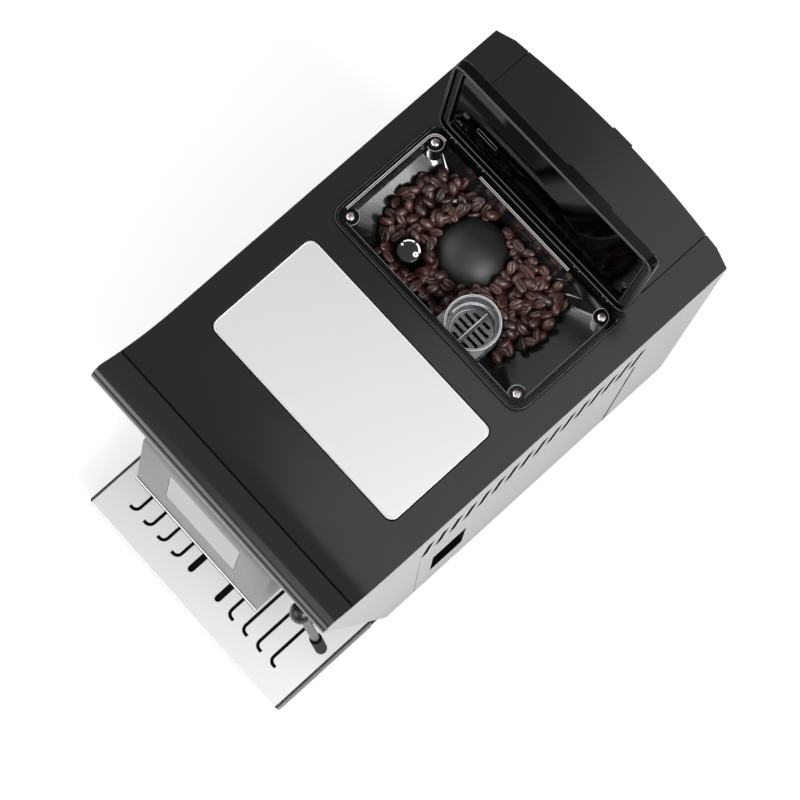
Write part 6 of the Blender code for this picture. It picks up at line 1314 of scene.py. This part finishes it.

# %% [markdown]
# The lugs get a fine bright arc of painted highlight on each side face, where the
# polished ends of the knuckles catch the light, and the lid's barrels a painted
# highlight line along their front.

# %% Hinge lug lines
LUG_MM = 2.5
LUG_ENDS_MM = (47.3, 52.0, 76.0, 80.7)
LUG_STEPS = 8
KNUCKLE_GAP_MM = 0.6
HINGE = Vector((0.0, *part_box("lid_hinge_rod")[0].lerp(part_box("lid_hinge_rod")[1], 0.5).yz))
lug_lines = []
for side in (-1, 1):
    for x in LUG_ENDS_MM:
        line = []
        for step in range(LUG_STEPS + 1):
            turn = math.pi * step / LUG_STEPS
            arm = Vector((0.0, math.cos(turn), math.sin(turn))) * LUG_MM * MM
            line.append(HINGE + arm + Vector((side * x * MM, 0.0, 0.0)))
        lug_lines.append(line)
beads("hinge_lug_lines", "housing", highlight_bright, lug_lines, FULL_LINE_MM)
rise = LUG_MM * MM / math.sqrt(2)


def barrel_line(side, inner_mm, outer_mm):
    """A line along the lid's hinge barrel, on the side that faces the front."""
    return [(side * x * MM, HINGE.y - rise, HINGE.z + rise) for x in (inner_mm, outer_mm)]


barrel_start = LUG_ENDS_MM[1] + KNUCKLE_GAP_MM
barrel_end = LUG_ENDS_MM[2] - KNUCKLE_GAP_MM
beads("lid_barrel_lines", "hopper_lid", highlight_mid, [
    barrel_line(side, barrel_start, barrel_end) for side in (-1, 1)
], FINE_LINE_MM)
print("lug lines:", len(lug_lines))

# %% [markdown]
# The lid is a shallow cover with a thin wall, a rounded skin and a rib inside. Beads
# of painted highlight draw its edges; their lines are worked out on the closed lid and
# swung open about the hinge.

# %% Lid lines
LID_OPEN_DEGREES = 97
LID_LEAN = Matrix.Rotation(math.radians(-LID_OPEN_DEGREES), 4, "X")
LID_HALF_MM = 95.5
LID_FRONT_MM, LID_REAR_MM = 34.6, 133.7
LID_BOTTOM_MM, LID_TOP_MM = 344.1, 352.1
LID_CORNER_MM = 10.0
LID_WALL_MM = 1.7
EDGE_SUNK_MM = 0.2
SKIN_SUNK_MM = 0.3
SKIN_LINE_MM = 0.35
RIB_INSET_MM = 6.8
RIB_LOW_MM = 346.1
RIB_LINE_MM = 0.28
SMALLEST_CORNER_MM = LID_CORNER_MM / 3


def swung_open(point):
    """Where a point of the closed lid lies when the lid stands open."""
    return HINGE + LID_LEAN @ (Vector(point) - HINGE)


def lid_loop(inset_mm, z_mm):
    """A loop round the closed lid at an inset from its outline, swung open."""
    inset = inset_mm * MM
    reach = LID_HALF_MM * MM - inset
    loop = rounded_loop(
        -reach, reach, LID_FRONT_MM * MM + inset, LID_REAR_MM * MM - inset,
        max(LID_CORNER_MM - inset_mm, SMALLEST_CORNER_MM) * MM, z_mm * MM,
    )
    return [swung_open(point) for point in loop]


rim_z = LID_BOTTOM_MM + EDGE_SUNK_MM
rim_loops = [lid_loop(FINE_LINE_MM, rim_z), lid_loop(LID_WALL_MM - EDGE_SUNK_MM, rim_z)]
skin_loop = lid_loop(SKIN_SUNK_MM, LID_TOP_MM - SKIN_SUNK_MM)
rib_loop = lid_loop(RIB_INSET_MM + LINE_MM, RIB_LOW_MM)
beads("lid_rim_lines", "hopper_lid", highlight_soft, rim_loops, LINE_MM, closed=True)
beads("lid_skin_line", "hopper_lid", highlight_dim, [skin_loop], SKIN_LINE_MM, closed=True)
beads("lid_rib_line", "hopper_lid", highlight_soft, [rib_loop], RIB_LINE_MM, closed=True)
print("lid lines of", len(skin_loop), "points each")

# %% [markdown]
# Two round stops and a square catch stand on the inside of the lid. Their outlines,
# beads of painted highlight, are laid onto the nearest points of the lid's solid.

# %% Lid stops and catch
INNER_MM = 349.5
STOPS_MM = ((-77.0, 98.0), (84.0, 103.0))
STOP_MM = 2.3
STOP_STEPS = 16
CATCH_MM = (-65.0, -46.0, 98.0, 103.5)
STOP_LINE_MM = 0.35
lid_tree = tree_of("hopper_lid")


def on_lid(x, y):
    """The spot of the open lid's inner face for a place on the closed lid."""
    return tuple(lid_tree.find_nearest(swung_open((x, y, INNER_MM * MM)))[0])


stops = []
for x_mm, y_mm in STOPS_MM:
    ring = level_arc(x_mm * MM, y_mm * MM, 0.0, STOP_MM * MM, 0, 360, STOP_STEPS)
    stops.append([on_lid(x, y) for x, y, z in ring])
left, right, front, rear = (value * MM for value in CATCH_MM)
stops.append([on_lid(x, y) for x, y in (
    (left, front), (right, front), (right, rear), (left, rear), (left, front),
)])
beads("lid_stops_and_catch", "hopper_lid", highlight_soft, stops, STOP_LINE_MM)
print("lid stops:", len(STOPS_MM))

# %% [markdown]
# The frame's flange shows two fine lines, which stop at the hinge; dim beads of
# painted highlight draw them. Rays from above find their heights on the solid.

# %% Flange lines
FLANGE_INSETS_MM = (0.9, 2.6)
FLANGE_CORNER_MM = 12.0
rim_tree = tree_of("hopper_rim")

flange = []
low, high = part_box("hopper_rim")
for inset_mm in FLANGE_INSETS_MM:
    inset = inset_mm * MM
    loop = rounded_loop(
        low.x + inset, high.x - inset, low.y + inset, high.y - inset,
        (FLANGE_CORNER_MM - inset_mm) * MM, SKY,
    )
    middle = len(loop) // 2
    round_the_front = loop[middle:] + loop[:middle]
    hits = [rim_tree.ray_cast(Vector(point), down)[0] for point in round_the_front]
    flange.append([tuple(hit) for hit in hits if hit is not None])
beads("frame_flange_lines", "housing", highlight_dim, flange, LINE_MM)
print("flange points:", [len(points) for points in flange])

# %% [markdown]
# ## Trim of the display and the cover's seam
#
# A chromed strip closes the lower front edge of the display housing, with a dark
# bead of painted shadow below it. A black bead paints the shade in the gap between
# the front lip and the cover.

# %% Display trim and seam
TRIM_MM = 0.9
TRIM_PROUD_MM = 0.2
TRIM_SHADOW_MM = 0.4
SEAM_MM = 0.8
SEAM_SUNK_MM = 0.3
SEAM_BACK_MM = 0.45

low, high = (Vector(corner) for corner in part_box("display_housing"))
trim_y = low.y - TRIM_PROUD_MM * MM
trim_z = low.z + TRIM_MM * MM
beads("display_trim", "housing", chrome, [[(low.x, trim_y, trim_z), (high.x, trim_y, trim_z)]], TRIM_MM)
shadow_y = trim_y - TRIM_MM * MM
shadow_z = low.z + TRIM_SHADOW_MM * MM
beads("display_trim_shadow", "housing", painted_shade_black, [
    [(low.x, shadow_y, shadow_z), (high.x, shadow_y, shadow_z)],
], TRIM_SHADOW_MM)

cover_tree = tree_of("top_cover", "front_lip")
seam_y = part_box("front_lip")[1].y + SEAM_BACK_MM * MM
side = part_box("top_cover")[1].x - SEAM_MM * MM
seam_z = cover_tree.ray_cast(Vector((0, seam_y, SKY)), down)[0].z - SEAM_SUNK_MM * MM
seam = [(-side, seam_y, seam_z), (side, seam_y, seam_z)]
# Painted shade in the gap between the lip and the cover
beads("cover_seam_shade", "housing", painted_shade_black, [seam], SEAM_MM)
print("seam at", round(seam_y / MM, 1), "mm")

# %% [markdown]
# ## Clear chute
#
# The funnel for ground coffee is clear, so its rims are what the eye finds: the
# mouth, the step where it enters the tube and the edge of the slotted floor. Light
# beads paint the highlights on these rims and on a rib across the floor.

# %% Chute rims
CHUTE_X_MM, CHUTE_Y_MM = 27.4, 56.4
CHUTE_CUT_MM = 38.7
CHUTE_STEPS = 48
CHUTE_RIB_HALF_MM = 15.0
CHUTE_RIB_TOP_MM = 322.0
CHUTE_RIB_MM = 0.55

# Each rim has its radius, its height and the radius of its bead.
CHUTE_RIMS_MM = ((20.3, 336.8, 0.4), (19.2, 336.8, 0.25), (15.6, 312.2, 0.35))


def chute_ring(radius_mm, z_mm):
    """A ring round the chute, flattened where its front is cut off."""
    ring = level_arc(CHUTE_X_MM, CHUTE_Y_MM, z_mm, radius_mm, 0, 360, CHUTE_STEPS)
    return [(x * MM, max(y, CHUTE_CUT_MM) * MM, z * MM) for x, y, z in ring]


for number, (radius, z, thick) in enumerate(CHUTE_RIMS_MM, start=1):
    beads(f"chute_rim_{number}", "housing", highlight_chute, [chute_ring(radius, z)], thick)
rib = [
    (CHUTE_X_MM * MM, (CHUTE_Y_MM + half_mm) * MM, CHUTE_RIB_TOP_MM * MM)
    for half_mm in (-CHUTE_RIB_HALF_MM, CHUTE_RIB_HALF_MM)
]
beads("chute_rib_line", "housing", highlight_chute, [rib], CHUTE_RIB_MM)
print("chute rims:", len(CHUTE_RIMS_MM))

# %% [markdown]
# ## Edges of the drip tray
#
# The grille lies in a black tray. A narrow dark strip on both sides of the steel is
# partly the black tray and partly painted shade in the gap. A fine dark line along
# its front is painted shadow, and a white bead behind it paints the highlight on the
# grille's folded edge.

# %% Tray lines
TRAY_SIDE_MM = 0.75
TRAY_SIDE_DOWN_MM = 2.0
TRAY_SIDE_START_MM = 1.5
TRAY_FRONT_MM = 0.35
GRILLE_FOLD_MM = 0.7
GRILLE_FOLD_INSET_MM = 1.0

low, high = (Vector(corner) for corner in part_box("drip_grille"))
line_z = high.z - TRAY_SIDE_DOWN_MM * MM
# Dark side strips: black tray rim and painted shade in the gap
beads("tray_side_lines", "drip_grille", painted_shade_black, [
    [(x, low.y + TRAY_SIDE_START_MM * MM, line_z), (x, high.y, line_z)]
    for x in (low.x - TRAY_SIDE_MM * MM, high.x + TRAY_SIDE_MM * MM)
], TRAY_SIDE_MM)
front = low.y + TRAY_FRONT_MM * MM
front_z = high.z - TRAY_FRONT_MM * MM
# Painted shadow along the tray's front
beads("tray_front_shadow", "drip_grille", painted_shade_black, [
    [(low.x, front, front_z), (high.x, front, front_z)],
], TRAY_FRONT_MM)
fold = front + (TRAY_FRONT_MM + GRILLE_FOLD_MM) * MM
fold_z = high.z - GRILLE_FOLD_MM / 2 * MM
fold_inset = GRILLE_FOLD_INSET_MM * MM
# Painted highlight on the grille's folded edge
beads("grille_fold_highlight", "drip_grille", highlight_steel, [
    [(low.x + fold_inset, fold, fold_z), (high.x - fold_inset, fold, fold_z)],
], GRILLE_FOLD_MM)
print("tray lines at", round(line_z / MM, 1), "mm")
